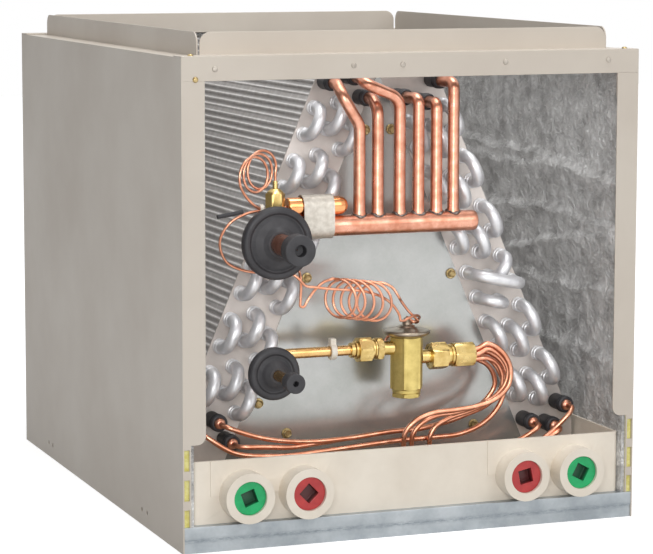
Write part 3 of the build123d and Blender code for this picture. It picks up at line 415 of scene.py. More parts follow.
def fin_finish():
    """Edges of stacked aluminium fins: painted shade darkens the hollows between the crests
    along the slab, and a faint painted shade in the gaps between the sheets, which are drawn
    2.2 mm apart so that they show, hatches them. Here and there the edges are combed or
    bruised."""
    material, tree, shader, position = mottled(
        "stacked_aluminium_fins", "#F4F1EF", "#E0DCD9", 9, (0.34, 0.48), Metallic=0.3
    )
    along = add(tree, "ShaderNodeSeparateXYZ", {"Vector": position}).outputs["Y"]
    phase = add(
        tree, "ShaderNodeMath", {0: along, 1: 2 * math.pi / 0.0022}, operation="MULTIPLY"
    )
    wave = add(tree, "ShaderNodeMath", {0: phase.outputs[0]}, operation="SINE")
    crest_height = add(tree, "ShaderNodeAttribute", attribute_name="crest_height").outputs["Fac"]
    bruise = add(
        tree,
        "ShaderNodeTexNoise",
        {"Vector": position, "Scale": 1000 / 5, "Detail": 5.0, "Roughness": 0.7},
    )
    height = add(
        tree,
        "ShaderNodeMath",
        {0: bruise.outputs["Fac"], 1: 0.5, 2: crest_height},
        operation="MULTIPLY_ADD",
    )
    # Painted shade: the low parts between the crests darken, broken up by real bruises.
    hollow_shade_and_bruises = add(
        tree,
        "ShaderNodeMapRange",
        {"Value": height.outputs[0], "From Min": 0.25, "From Max": 1.05}
        | {"To Min": 0.86, "To Max": 0.0},
    )
    # Painted shade in the gaps between the fin sheets, a little lighter on their edges.
    painted_gap_shade = add(
        tree,
        "ShaderNodeMapRange",
        {"Value": wave.outputs[0], "From Min": -1.0, "To Min": 0.1, "To Max": -0.04},
    )
    both = add(tree, "ShaderNodeMath", {0: hollow_shade_and_bruises.outputs[0], 1: painted_gap_shade.outputs[0]}, use_clamp=True)
    overlay(tree, shader, both.outputs[0], linear("#A8A4A2"))
    bump = add(
        tree,
        "ShaderNodeBump",
        {"Height": wave.outputs[0], "Distance": 0.0002, "Strength": 0.6},
    )
    tree.links.new(bump.outputs[0], shader.inputs["Normal"])
    return material


fins = fin_finish()


# ---------------------------------------------------------------- shapes


def shaped(name, shape, material, sharp=35.0, nodes=()):
    """Make a piece of (points, faces), smooth but for edges sharper than an angle."""
    points, faces = shape
    mesh = bpy.data.meshes.new(name)
    mesh.from_pydata(points.tolist(), [], faces)
    mesh.shade_smooth()
    mesh.set_sharp_from_angle(angle=math.radians(sharp))
    mesh.materials.append(material)
    piece = bpy.data.objects.new(name, mesh)
    scene.collection.objects.link(piece)
    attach(piece, "root")
    if nodes:
        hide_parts(*nodes)
    return piece


def together(shapes):
    """Several (points, faces) as one."""
    starts = np.cumsum([0] + [len(points) for points, faces in shapes])
    points = np.concatenate([points for points, faces in shapes])
    faces = [
        [corner + int(start) for corner in face]
        for start, (_, group) in zip(starts, shapes)
        for face in group
    ]
    return points, faces


def ring_faces(rings, sides, closed=False):
    """Quads between neighbouring rings, and flat ends unless the rings close on themselves."""
    rows = np.arange(rings if closed else rings - 1)
    turn = np.arange(sides)
    here = rows[:, None] * sides
    there = ((rows[:, None] + 1) % rings) * sides
    after = (turn + 1) % sides
    quads = np.stack([here + turn, here + after, there + after, there + turn], axis=-1)
    faces = quads.reshape(-1, 4).tolist()
    if not closed:
        faces.append(turn[::-1].tolist())
        faces.append((turn + (rings - 1) * sides).tolist())
    return faces


def eased(points, radius, count=6):
    """A polyline with each corner replaced by an arc tangent to both runs.

    The arc takes at most 0.45 of the shorter run, and its points are the great-circle mean of
    the two end radii.
    """
    spots = np.asarray(points, float)
    radii = np.broadcast_to(radius, len(spots) - 2)
    out = [spots[:1]]
    for before, corner, after, largest in zip(spots, spots[1:], spots[2:], radii):
        back, ahead = before - corner, after - corner
        shorter = min(np.linalg.norm(back), np.linalg.norm(ahead))
        back, ahead = back / np.linalg.norm(back), ahead / np.linalg.norm(ahead)
        inner = math.acos(np.clip(back @ ahead, -1, 1))
        sweep = math.pi - inner
        if sweep < 0.02:
            out.append(corner[None])
            continue
        cut = min(largest * math.tan(sweep / 2), 0.45 * shorter)
        middle = corner + (back + ahead) / np.linalg.norm(back + ahead) * cut / math.cos(inner / 2)
        first, last = corner + back * cut - middle, corner + ahead * cut - middle
        share = np.linspace(0, 1, count)[:, None]
        arc = np.sin((1 - share) * sweep) * first + np.sin(share * sweep) * last
        out.append(middle + arc / math.sin(sweep))
    out.append(spots[-1:])
    return np.concatenate(out)


def flowing(points, per_span=6):
    """A smooth curve through points: a cubic on each span, whose end slopes are the slopes of
    the neighbouring spans weighted by the other span's length."""
    spots = np.asarray(points, float)
    gap = np.linalg.norm(np.diff(spots, axis=0), axis=1)[:, None]
    slope = np.diff(spots, axis=0) / gap
    inner = (gap[1:] * slope[:-1] + gap[:-1] * slope[1:]) / (gap[1:] + gap[:-1])
    tangent = np.concatenate([slope[:1], inner, slope[-1:]])
    t = (np.arange(per_span) / per_span)[None, :, None]
    start, end = spots[:-1, None], spots[1:, None]
    lean, to = tangent[:-1, None] * gap[:, None], tangent[1:, None] * gap[:, None]
    curve = (
        (2 * t**3 - 3 * t**2 + 1) * start
        + (t**3 - 2 * t**2 + t) * lean
        + (3 * t**2 - 2 * t**3) * end
        + (t**3 - t**2) * to
    )
    return np.concatenate([curve.reshape(-1, 3), spots[-1:]])


def tube(route, radius, sides=20):
    """A round tube along a route in millimetres, its radius one value or one for each point.

    Each ring lies square to the route, and its first direction is the last ring's laid flat.
    """
    spots = np.asarray(route, float)
    along = np.gradient(spots, axis=0)
    along /= np.linalg.norm(along, axis=1)[:, None]
    side = np.cross(along[0], (0.31, 0.52, 0.8))
    sides_out = []
    for direction in along:
        side = side - (side @ direction) * direction
        side /= np.linalg.norm(side)
        sides_out.append(side)
    out = np.array(sides_out)
    up = np.cross(along, out)
    angle = np.arange(sides) * 2 * math.pi / sides
    size = np.broadcast_to(radius, len(spots))[:, None, None]
    ring = np.cos(angle)[None, :, None] * out[:, None] + np.sin(angle)[None, :, None] * up[:, None]
    points = spots[:, None] + size * ring
    return place(points.reshape(-1, 3)), ring_faces(len(spots), sides)


AXES = {
    "right": ((1, 0, 0), (0, 1, 0), (0, 0, 1)),
    "front": ((0, -1, 0), (1, 0, 0), (0, 0, 1)),
    "up": ((0, 0, 1), (1, 0, 0), (0, 1, 0)),
}


def turned(profile, start, axis, sides=48, closed=False, turn=0.0):
    """A piece turned about an axis through start.

    The profile gives (distance along the axis, radius) and, for a hexagon, its size across the
    flats: the radius at an angle is then the smaller of the turned radius and the flat's
    distance over the cosine of the angle from the flat's middle, which is how a turned chamfer
    cuts a hexagon's corners.
    """
    ahead, first, second = (np.array(v, float) for v in AXES[axis])
    reach = np.array([row[0] for row in profile], float)[:, None]
    radius = np.array([row[1] for row in profile], float)[:, None]
    across = np.array([row[2] if len(row) > 2 else np.inf for row in profile])[:, None]
    angle = (np.arange(sides) * 2 * math.pi / sides)[None]
    from_flat = np.mod(angle + math.radians(turn), math.pi / 3) - math.pi / 6
    size = np.minimum(radius, across / 2 / np.cos(from_flat))
    points = (
        np.array(start, float)
        + reach[..., None] * ahead
        + (size * np.cos(angle))[..., None] * first
        + (size * np.sin(angle))[..., None] * second
    )
    faces = ring_faces(len(profile), sides, closed)
    if np.cross(first, second) @ ahead < 0:
        faces = [face[::-1] for face in faces]
    return place(points.reshape(-1, 3)), faces


def rounded(profile, radius=0.8, count=4):
    """A turned profile with its corners rounded."""
    return eased(profile, radius, count).tolist()


def dressed(node, material, width, segments=2):
    """A node's own shape with its edges eased: merged, its flat faces joined, and bevelled."""
    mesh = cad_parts[node].data.copy()
    shape = bmesh.new()
    shape.from_mesh(mesh)
    bmesh.ops.remove_doubles(shape, verts=shape.verts, dist=1e-5)
    bmesh.ops.dissolve_limit(
        shape, angle_limit=math.radians(1.0), verts=shape.verts, edges=shape.edges
    )
    shape.to_mesh(mesh)
    shape.free()
    mesh.materials.clear()
    mesh.materials.append(material)
    mesh.shade_smooth()
    mesh.set_sharp_from_angle(angle=math.radians(35))
    piece = bpy.data.objects.new(f"{node}_dressed", mesh)
    scene.collection.objects.link(piece)
    if width:
        bevel = piece.modifiers.new("eased_edges", "BEVEL")
        bevel.width = width / 1000
        bevel.segments = segments
        bevel.limit_method = "ANGLE"
        bevel.angle_limit = math.radians(40)
        bevel.use_clamp_overlap = True
        bevel.harden_normals = True
    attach(piece, "root")
    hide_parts(node)
    return piece


def paint(node, material):
    """Give a CAD node its finish."""
    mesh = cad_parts[node].data
    mesh.materials.clear()
    mesh.materials.append(material)


# ---------------------------------------------------------------- casing

for node in ("left_side_panel", "right_side_panel", "back_panel", "front_top_rail"):
    dressed(node, powder_coat, 0.35)
dressed("front_base_rail", galvanised_rail, 0.5)
for node in ("left_pan_runner", "right_pan_runner", "apex_cap"):
    paint(node, zinc_plate)
for node in ("front_delta_plate", "rear_delta_plate"):
    paint(node, zinc_plate)
for side in ("left", "right"):
    for end in ("front", "rear"):
        paint(f"{side}_{end}_tube_sheet", dull_zinc)


def creased(depth, z, turn, gap, height, wander=6.0, shift=0.0):
    """A sheet folded along parallel creases: a sharp-edged wave across a direction, pushed
    sideways by two slow waves so that the creases wander."""
    along = depth * math.cos(turn) + z * math.sin(turn)
    across = z * math.cos(turn) - depth * math.sin(turn)
    pushed = across + wander * np.sin(along / 37 + shift) + 0.5 * wander * np.sin(along / 13)
    return height * (1 - 2 * np.abs(np.sin(pushed * math.pi / gap + shift)))


def ramp_fold(z, height, level, slope=16.0):
    """A fold that hangs over: the sheet swells downwards to a crease and falls back sharply."""
    below = np.clip((level - z) / slope, -1, 8)
    return height * np.where(below < 0, np.clip(1 + below * 4, 0, 1), np.exp(-below))


def lining(side, folds, name, seed):
    """Foil-faced lining: a sheet that creases and folds, on a flat slab of fibreglass.

    The face is sunk by up to 3.2 mm and stands proud by up to 4 mm beside the pan, rising to
    8 mm above it, and dies out to nothing at its border. A strip of tape makes a step 0.8 mm
    high at its front.
    """
    depth, z = np.meshgrid(
        np.linspace(LINING_FRONT, LINING_BACK, 330), np.linspace(LINING_LOW, LINING_HIGH, 250)
    )
    wave = creased(depth, z, 0.35, 31, 0.35, shift=seed)
    wave = wave + creased(depth, z, 1.2, 23, 0.3, shift=seed + 2)
    wave = wave + creased(depth, z, -0.75, 17, 0.25, 4.0, seed + 1)
    wave = wave + creased(depth, z, 2.3, 9, 0.12, 3.0, seed + 4)
    for level, slant, height in folds:
        line = level + slant * (depth - 250) / 250 + 3 * np.sin(depth / 41 + level)
        line = line + 1.5 * np.sin(depth / 11 + level)
        wave = wave + ramp_fold(z, 1.9 * height, line, 26.0)
    wave = wave + 0.8 * np.clip((76 - depth) / 1.5, 0, 1)
    edge = np.minimum.reduce(
        [depth - LINING_FRONT, LINING_BACK - depth, z - LINING_LOW, LINING_HIGH - z]
    )
    room = 4.0 + np.clip((z - 110) / 40, 0, 4)
    wave = np.clip(wave, -3.2, room) * np.clip(edge / 6, 0, 1)
    face = side * (LINING_FACE - wave)
    rows, columns = depth.shape
    points = np.stack([face, depth, z], axis=-1).reshape(-1, 3)
    corner = np.arange(rows * columns).reshape(rows, columns)
    quads = np.stack(
        [corner[:-1, :-1], corner[:-1, 1:], corner[1:, 1:], corner[1:, :-1]], axis=-1
    ).reshape(-1, 4)
    border = np.concatenate(
        [corner[0, :-1], corner[:-1, -1], corner[-1, :0:-1], corner[:0:-1, 0]]
    )
    wrapped, back = points[border].copy(), points[border].copy()
    wrapped[:, 0] = side * (LINING_FACE + 3.4)
    back[:, 0] = side * (LINING_FACE + 9.4)
    ring = len(border)
    first = np.arange(ring) + len(points)
    walls = [
        np.stack([near, far, np.roll(far, -1), np.roll(near, -1)], axis=-1).tolist()
        for near, far in ((border, first), (first, first + ring))
    ]
    behind = (first + ring).tolist()
    faces = quads.tolist() + walls[0] + walls[1] + [behind]
    if side > 0:
        faces = [corners[::-1] for corners in faces]
    piece = shaped(
        f"{name}_creased", (place(np.concatenate([points, wrapped, back])), faces), foil,
        nodes=[name],
    )
    piece.data.materials.append(fibreglass)
    core = np.zeros(len(faces), int)
    core[len(quads) + ring :] = 1
    piece.data.polygons.foreach_set("material_index", core)
    return piece


RIGHT_FOLDS = [(330, 14, 2.6), (319, -1, 1.4), (274, -1, 2.4), (231, -36, 3.4)]
RIGHT_FOLDS += [(203, -10, 2.0), (150, 6, 1.8)]
LEFT_FOLDS = [(360, 6, 1.8), (290, -8, 2.2), (210, 5, 2.0), (130, -6, 2.0)]
lining(1, RIGHT_FOLDS, "right_insulation", 0.4)
lining(-1, LEFT_FOLDS, "left_insulation", 2.1)
paint("back_insulation", foil)


# ---------------------------------------------------------------- drain pan

dressed("drain_pan", pan_polymer, 0.4)
for node, plug, slot in (
    ("left_outer_drain_plug", green_plug, "green_plastic"),
    ("left_inner_drain_plug", red_plug, "red_plastic"),
    ("right_inner_drain_plug", red_plug, "red_plastic"),
    ("right_outer_drain_plug", green_plug, "green_plastic"),
):
    dressed(node, plug, 0.5)


# ---------------------------------------------------------------- finned slabs


def fin_slab(side):
    """A finned slab: the fins' rippled outline carried from front to back.

    The outline's outer and inner edges rise in narrow rounded crests, four to a tube: a crest
    falls off with the square of the distance from its middle over the crest's width. Between
    every third and fourth crest a flat land, where the tube passes, stands half as high. The
    height is kept on each point for the finish, which darkens the low parts as painted shade.
    """
    ripples = 60
    per = 10
    share = np.linspace(0, 1, ripples * per + 1)
    phase = np.mod(share * ripples, 1.0)
    crest = np.exp(-(((phase - 0.5) / 0.2) ** 2))
    land = np.mod(share * ripples - 0.5, 4.0) < 1.0
    crest_height = np.where(land, np.maximum(crest, 0.45), crest)
    along = share * SLAB_LENGTH
    outer = 1.7 - 1.6 * crest_height
    outline = np.concatenate(
        [
            np.stack([along, outer], axis=-1),
            np.stack([along, SLAB_DEPTH - outer], axis=-1)[::-1],
        ]
    )
    bright = np.concatenate([crest_height, crest_height[::-1]])
    x = side * (FOOT[0] - outline[:, 0] * TILT[0] - outline[:, 1] * TILT[1])
    z = FOOT[1] + outline[:, 0] * TILT[1] - outline[:, 1] * TILT[0]
    depths = np.array([COIL_FRONT + 1.5, COIL_BACK - 1.5])
    points = np.stack(
        [np.tile(x, 2), np.repeat(depths, len(x)), np.tile(z, 2)], axis=-1
    )
    faces = ring_faces(2, len(x))
    if side < 0:
        faces = [face[::-1] for face in faces]
    name = "right" if side > 0 else "left"
    piece = shaped(
        f"{name}_finned_slab", (place(points), faces), fins, 70,
        [f"{name}_fin_pack"],
    )
    # The crest height, read by the fins' finish for its painted shade.
    value = piece.data.attributes.new("crest_height", "FLOAT", "POINT")
    value.data.foreach_set("value", np.tile(bright, 2).astype(np.float32))


fin_slab(1)
fin_slab(-1)


def tube_end(row, n, left):
    """Where a tube meets the tube sheet: (x, z)."""
    first = 1.0 if row % 2 == 0 else (1.5 if left else 0.5)
    along = (first + n) * TUBE_PITCH
    inward = FIRST_ROW + row * ROW_SPACING
    x = FOOT[0] - along * TILT[0] - inward * TILT[1]
    z = FOOT[1] + along * TILT[1] - inward * TILT[0]
    return (-x if left else x, z)


def return_bend(start, end, leg, back=False):
    """A U-bend between two tube ends, with the stepped collars of its brazed sockets.

    Its centre line is a leg out, a half circle and a leg in: at an angle, the arc has gone the
    cosine's share across and the sine's share out. A bend longer than the tubes' pitch has a
    run between two quarter circles, and a shorter one is squeezed across. The radius steps
    down from the socket's mouth over the first millimetres of each leg.
    """
    way, face = (1.0, COIL_BACK) if back else (-1.0, COIL_FRONT)
    ends = np.array([(start[0], face, start[1]), (end[0], face, end[1])])
    span = np.linalg.norm(ends[1] - ends[0])
    across = (ends[1] - ends[0]) / span
    outward = np.array([0.0, way, 0.0])
    rise = TUBE_PITCH / 2
    round_part = min(rise, span / 2)
    angle = np.linspace(0, math.pi, 19)
    turn = np.where(angle[:, None] < math.pi / 2 + 0.01, ends[0], ends[1])
    inset = np.where(angle < math.pi / 2 + 0.01, 1.0, -1.0) * round_part
    sideways = inset - round_part * np.cos(angle)
    arc = turn + across * sideways[:, None] + outward * (leg + rise * np.sin(angle))[:, None]
    steps = np.array([0.0, 3.4, 3.8, 4.6, 5.0, 8.0, 8.6, leg * 0.96])
    sizes = np.array([7.1, 7.1, 6.2, 6.2, 7.0, 6.9, 6.0, TUBE_RADIUS])
    foot = ends[0] + outward * steps[:, None]
    far = ends[1] + outward * steps[::-1, None]
    path = np.concatenate([foot, arc, far])
    radius = np.concatenate([sizes, np.full(len(arc), TUBE_RADIUS), sizes[::-1]])
    return tube(path, radius, 18)


def pairs_of(row, skipped=()):
    """A row's front bends: second tube to third, fourth to fifth, and so on."""
    return [((row, n), (row, n + 1)) for n in range(1, 13, 2) if n not in skipped]


ROWS = ("outer", "middle", "inner")
CROSSINGS = {
    0: ((0, 6), (1, 6), BEND_LEG),
    1: ((2, 5), (1, 5), BEND_LEG),
    2: ((2, 6), (0, 5), CROSS_LEG),
}
for row, row_name in enumerate(ROWS):
    left_bends = [
        return_bend(tube_end(*a, True), tube_end(*b, True), BEND_LEG) for a, b in pairs_of(row)
    ]
    name = f"left_{row_name}_return_bends"
    shaped(f"{name}_smooth", together(left_bends), drawn_aluminium, 40, [name])
    right_bends = [
        return_bend(tube_end(*a, False), tube_end(*b, False), BEND_LEG)
        for a, b in pairs_of(row, (5,))
    ]
    a, b, leg = CROSSINGS[row]
    right_bends.append(return_bend(tube_end(*a, False), tube_end(*b, False), leg))
    name = f"right_{row_name}_return_bends"
    shaped(f"{name}_smooth", together(right_bends), drawn_aluminium, 40, [name])

for left in (True, False):
    rear = [
        return_bend(tube_end(row, n, left), tube_end(row, n + 1, left), BEND_LEG, back=True)
        for row in range(3)
        for n in range(0, 14, 2)
    ]
    name = f"{'left' if left else 'right'}_rear_return_bends"
    shaped(f"{name}_smooth", together(rear), drawn_aluminium, 40, [name])


# ---------------------------------------------------------------- suction manifold

suction_route = eased(
    [(79, *HEADER), (-118, *HEADER), (-128, 34, 273), (-128, -34.5, 273)], 14.0, 12
)
header_end = np.array([[79, *HEADER], [78.3, *HEADER], [76.8, *HEADER], [74, *HEADER]])
suction_path = np.concatenate([header_end, suction_route[1:]])
suction_size = np.full(len(suction_path), 9.52)
suction_size[:4] = (7.9, 8.8, 9.35, 9.52)
shaped(
    "suction_line_smooth", tube(suction_path, suction_size, 40), copper, 30,
    ["suction_line"],
)

FEEDERS = [
    (-37.0, [(-37.0, 47.0, 374.0), (-54.0, 47.0, 402.0)], (0, 13, True)),
    (-19.0, [(-19.0, 47.0, 388.0)], (2, 13, True)),
    (2.7, [(2.7, 47.0, 398.0), (-31.0, 47.0, 412.0)], (1, 13, True)),
    (21.4, [(21.4, 47.0, 398.0)], (2, 13, False)),
    (39.4, [(39.4, 47.0, 393.0)], (1, 13, False)),
    (56.6, [(56.6, 47.0, 412.0)], (0, 13, False)),
]
beads = []
for number, (foot, corners, end) in enumerate(FEEDERS, 1):
    end_x, end_z = tube_end(*end)
    route = [(foot, 47.0, 291.5), (foot, 47.0, 296.0)] + corners
    route += [(end_x, 62.0, end_z), (end_x, COIL_FRONT, end_z)]
    path = eased(route[1:], 15.0, 12)
    path = np.concatenate([[route[0], (foot, 47.0, 294.0)], path])
    size = np.full(len(path), 5.4)
    size[:3] = (6.3, 5.9, 5.5)
    shaped(
        f"feeder_tube_{number}_smooth", tube(path, size, 28), copper, 40,
        [f"feeder_tube_{number}"],
    )
    angle = np.arange(24) * 2 * math.pi / 24
    uneven = 0.35 * np.sin(3 * angle + number) + 0.25 * np.sin(7 * angle + 2 * number)
    dip = 283 + np.sqrt(np.maximum(9.52**2 - (6.2 * np.sin(angle)) ** 2, 0))
    bead = np.stack(
        [foot + 6.1 * np.cos(angle), 47 + 6.1 * np.sin(angle), dip + 0.3 + 0.3 * uneven], axis=-1
    )
    ring = np.arange(8) * 2 * math.pi / 8
    outward = (bead - (foot, 47, 0)) * (1, 1, 0)
    outward /= np.linalg.norm(outward, axis=1)[:, None]
    thick = (1.25 + uneven)[:, None, None]
    fillet = bead[:, None] + thick * (
        np.cos(ring)[None, :, None] * outward[:, None]
        + np.sin(ring)[None, :, None] * np.array((0, 0, 1.0))
    )
    beads.append((place(fillet.reshape(-1, 3)), ring_faces(24, 8, closed=True)))
shaped("header_braze_beads", together(beads), braze, 60)


def sleeve(end, outer, bore, tip):
    """A rubber sleeve on a tube's end, with two soft rings at its mouth."""
    x, z = tube_end(*end)
    length = COIL_FRONT - tip
    profile = [(0, bore), (0, outer), (length - 8, outer), (length - 7, outer + 0.7)]
    profile += [(length - 5.4, outer + 0.7), (length - 4.6, outer), (length - 3.4, outer + 0.6)]
    profile += [(length - 1.2, outer + 0.5), (length, outer - 0.8), (length, bore)]
    return turned(rounded(profile, 0.6, 3), (x, COIL_FRONT, z), "front", 32, closed=True)


feeder_ends = [end for foot, corners, end in FEEDERS]
shaped(
    "feeder_sleeves_smooth", together([sleeve(end, 7.2, 5.5, 70.0) for end in feeder_ends]),
    rubber, 40, ["feeder_sleeves"],
)
inlet_ends = [(row, 0, left) for left in (True, False) for row in range(3)]
shaped(
    "inlet_sleeves_smooth", together([sleeve(end, 7.5, 5.45, 70.0) for end in inlet_ends]),
    rubber, 40, ["inlet_sleeves"],
)
stubs = []
for end in inlet_ends:
    x, z = tube_end(*end)
    tip = [(0, 5.3), (25.5, 5.3), (27, 4.6), (28, 3.2), (28.4, 2.5)]
    stubs.append(turned(rounded(tip, 1.0, 3), (x, COIL_FRONT, z), "front", 28))
shaped("inlet_stubs_smooth", together(stubs), copper, 40, ["inlet_stubs"])


# ---------------------------------------------------------------- grommets, stubs and caps


def grommet(centre, outer, hole, node):
    """A dished rubber grommet: rim, raised ring, groove, and a hub round its tube."""
    rim = outer / 2
    profile = [(0, hole), (0, rim), (5.2, rim), (7.2, rim - 1.6), (8, rim - 3.2)]
    profile += [(8, rim - 5.6), (6.4, rim - 7.0), (6.4, rim - 8.2), (8.4, rim - 11)]
    profile += [(11, hole + 6), (13.4, hole + 3.4), (15, hole + 2), (15, hole)]
    x, z = centre
    return shaped(
        f"{node}_smooth",
        turned(rounded(profile, 1.0, 4), (x, 20.0, z), "front", 64, closed=True),
        rubber, 40, [node],
    )


grommet(SUCTION_STUB, 66.0, 9.65, "suction_grommet")
grommet(LIQUID_STUB, 48.0, 4.9, "liquid_grommet")


def cap(centre, hole, outer, reach, pocket, node):
    """A moulded rubber cap over a stub's end, with a deep blind hole in its rounded face."""
    x, z = centre
    profile = [(0, hole), (0, outer), (13.4, outer), (14, outer - 0.8), (14, pocket)]
    profile += [(5, pocket), (5, 0.4)]
    inside = [(4, 0.4), (4, hole)]
    return shaped(
        f"{node}_smooth",
        turned(
            rounded(profile + inside, 0.7, 4), (x, 11.0 - reach, z), "front", 48, closed=True
        ),
        rubber, 40, [node],
    )


cap(SUCTION_STUB, 9.65, 14.1, 42.0, 5.3, "suction_cap")
cap(LIQUID_STUB, 4.9, 8.9, 38.0, 2.5, "liquid_cap")


# ---------------------------------------------------------------- liquid line and valve

liquid_path = eased(
    [(-131, -30.5, 155), (-131, 30, 155), (-123, 47, 167), (-45, 47, 167)], 13.0, 12
)
shaped(
    "liquid_line_smooth", tube(liquid_path, 4.75, 28), drawn_brass, 40, ["liquid_line"]
)


def hexagon(start, end, across, chamfer=0.9):
    """A nut's profile between two distances, chamfered at both ends."""
    corner = across / 2 / math.cos(math.pi / 6)
    return [
        (start, across / 2 - 0.2, across),
        (start, across / 2 + 0.3, across),
        (start + chamfer, corner, across),
        (end - chamfer, corner, across),
        (end, across / 2 + 0.3, across),
        (end, across / 2 - 0.2, across),
    ]


inlet = [(0, 5.0), (0, 6.6), (0.5, 7.0), (3.6, 7.0), (4, 6.4), (4.4, 8.4), (6.6, 8.4)]
inlet = [(s, r, np.inf) for s, r in inlet] + hexagon(7, 20, 22)
inlet += [(s, r, np.inf) for s, r in [(20, 9.4), (21.6, 9.4), (22, 8.4), (22.8, 8.4)]]
inlet += [(s, r, np.inf) for s, r in [(23.2, 9.4), (24.6, 9.4), (25, 8.8)]]
inlet += hexagon(25, 31, 20) + [(31, 6.6, np.inf), (42.6, 6.5, np.inf)]
shaped(
    "inlet_fitting_smooth", turned(inlet, (-46, VALVE_DEPTH, LIQUID_Z), "right", 72, turn=8),
    machined_brass, 25, ["inlet_fitting"],
)

outlet = [(0, 6.4, np.inf), (8.4, 6.4, np.inf), (8.8, 7.6, np.inf)] + hexagon(9, 25, 23)
shaped(
    "outlet_fitting_smooth",
    turned(outlet, (VALVE_X + 14, VALVE_DEPTH, OUTLET_Z), "right", 72, turn=20),
    machined_brass, 25, ["outlet_fitting"],
)
spread = [(0, 9.0), (0, 9.6), (0.6, 10.2), (2.2, 10.2), (2.8, 9.2), (3.8, 9.2), (4.4, 10.2)]
spread = [(s, r, np.inf) for s, r in spread + [(6.4, 10.2), (6.8, 9.6)]]
spread += hexagon(7, 27.4, 22, 1.8)
shaped(
    "distributor_smooth",
    turned(spread, (VALVE_X + 39, VALVE_DEPTH, OUTLET_Z), "right", 72, turn=8),
    machined_brass, 25, ["distributor"],
)

body = [(s, r, np.inf) for s, r in [(-7.5, 8.0)]] + hexagon(-7.5, -3.5, 24.4, 0.6)
body += [(s, r, np.inf) for s, r in [(-3.5, 12.6), (-3.1, 13.2), (-0.4, 13.2), (0, 12.6)]]
body += hexagon(0, 53, 28, 1.2)
shaped(
    "valve_body_smooth", turned(body, (VALVE_X, VALVE_DEPTH, 128), "up", 72),
    forged_brass, 25, ["valve_body"],
)
head = [(-5, 13.2), (-4.6, 14.6), (-3.0, 17.5), (-1.6, 20.6), (-0.4, 21.6), (0.6, 22.0)]
head += [(1.6, 21.9), (2.2, 21.0), (2.6, 19.4), (3.4, 14), (4.6, 8.6), (6.0, 7.2), (6.6, 6.2)]
head += [(7.0, 4.2), (9.6, 3.9), (10.0, 3.2), (13.4, 2.6), (13.6, 1.4)]
shaped(
    "power_head_smooth",
    turned(rounded(head, 0.8, 3), (VALVE_X, VALVE_DEPTH, 181), "up", 72),
    plated_steel, 50, ["power_head"],
)

dressed("line_clip", nylon, 0.5)


# ---------------------------------------------------------------- distributor tubes

STRANDS = [
    (300, (2, 0, True), [
        (90, 65, 148), (100, 65, 143), (107, 65, 134), (109, 65, 123), (102, 65, 111),
        (86, 65, 99), (68, 65, 92), (39, 65, 86.5), (10, 64, 85), (-32, 60, 83),
        (-74, 56, 80), (-102, 52, 79), (-124, 50, 81),
    ]),
    (60, (1, 0, True), [
        (90, 55, 158), (101, 58, 154), (113, 60, 145), (118, 60, 131.5), (114, 60, 118),
        (99, 60, 105), (78, 60, 97), (51, 60, 90), (30, 59, 86.5), (1, 58, 86),
        (-41, 56, 83), (-90, 54, 83), (-135, 52, 91),
    ]),
    (0, (0, 0, True), [
        (92, 54, 153), (101, 55, 147), (109, 55, 137), (114, 54.5, 122), (111, 54.5, 108.5),
        (103, 54.5, 97), (88, 54.5, 86), (70, 54.5, 80), (42, 54, 78.5), (6, 53, 78),
        (-36, 50, 76), (-71, 48, 74), (-120, 46, 73), (-160, 48, 79),
    ]),
    (120, (0, 0, False), [
        (90, 42, 166.5), (104, 38, 158.5), (112.5, 37, 141), (110, 36, 127), (99, 36, 116),
        (77, 35, 109), (56, 35, 107), (31.5, 34, 105.5), (14, 34, 99), (5, 35, 89),
        (4, 37, 77), (10, 42, 64), (34, 48, 54), (74, 54, 50), (120, 56, 54), (166, 56, 76),
    ]),
    (180, (1, 0, False), [
        (91, 42, 161.5), (104, 42, 154), (112, 42, 140), (109, 42, 127), (97.6, 42, 115),
        (77, 42, 107), (57, 41, 103), (39, 41, 101.5), (25, 41, 96), (16, 42, 86),
        (15, 44, 74), (22, 48, 62), (46, 54, 55), (86, 58, 52), (134, 60, 58),
    ]),
    (240, (2, 0, False), [
        (92, 45, 152), (104, 48, 145), (110, 49, 132), (108, 49, 121), (96.5, 49, 110),
        (75, 49, 102), (53, 48.5, 96), (40, 48, 89), (35, 48, 79), (37, 50, 68),
        (50, 54, 60), (78, 58, 57), (116, 60, 62),
    ]),
]


def strand(angle, end, route):
    """One distributor tube, from the distributor's face to its circuit's inlet stub."""
    side = 5.4 * math.cos(math.radians(angle))
    rise = 5.4 * math.sin(math.radians(angle))
    x, z = tube_end(*end)
    spots = [(75, VALVE_DEPTH + side, OUTLET_Z + rise), (80, VALVE_DEPTH + side, OUTLET_Z + rise)]
    spots += route + [(x, 58.0, z), (x, 67.5, z)]
    return tube(flowing(spots, 8), 2.35, 14)


for side, group in (("left", STRANDS[:3]), ("right", STRANDS[3:])):
    name = f"{side}_distributor_tubes"
    shaped(
        f"{name}_smooth", together([strand(*row) for row in group]), thin_copper,
        60, [name],
    )


# ---------------------------------------------------------------- sensing bulb and capillaries

bulb = [(0, 4.0), (0, 7.6), (1.2, 8.75), (50, 8.75), (54, 8.0), (57, 6.0), (58.5, 3.2)]
bulb += [(58.9, 1.0)]
shaped(
    "sensing_bulb_smooth",
    turned(rounded(bulb, 3.0, 5), (-108, 47, 301.6), "right", 48),
    bright_copper, 50, ["sensing_bulb"],
)


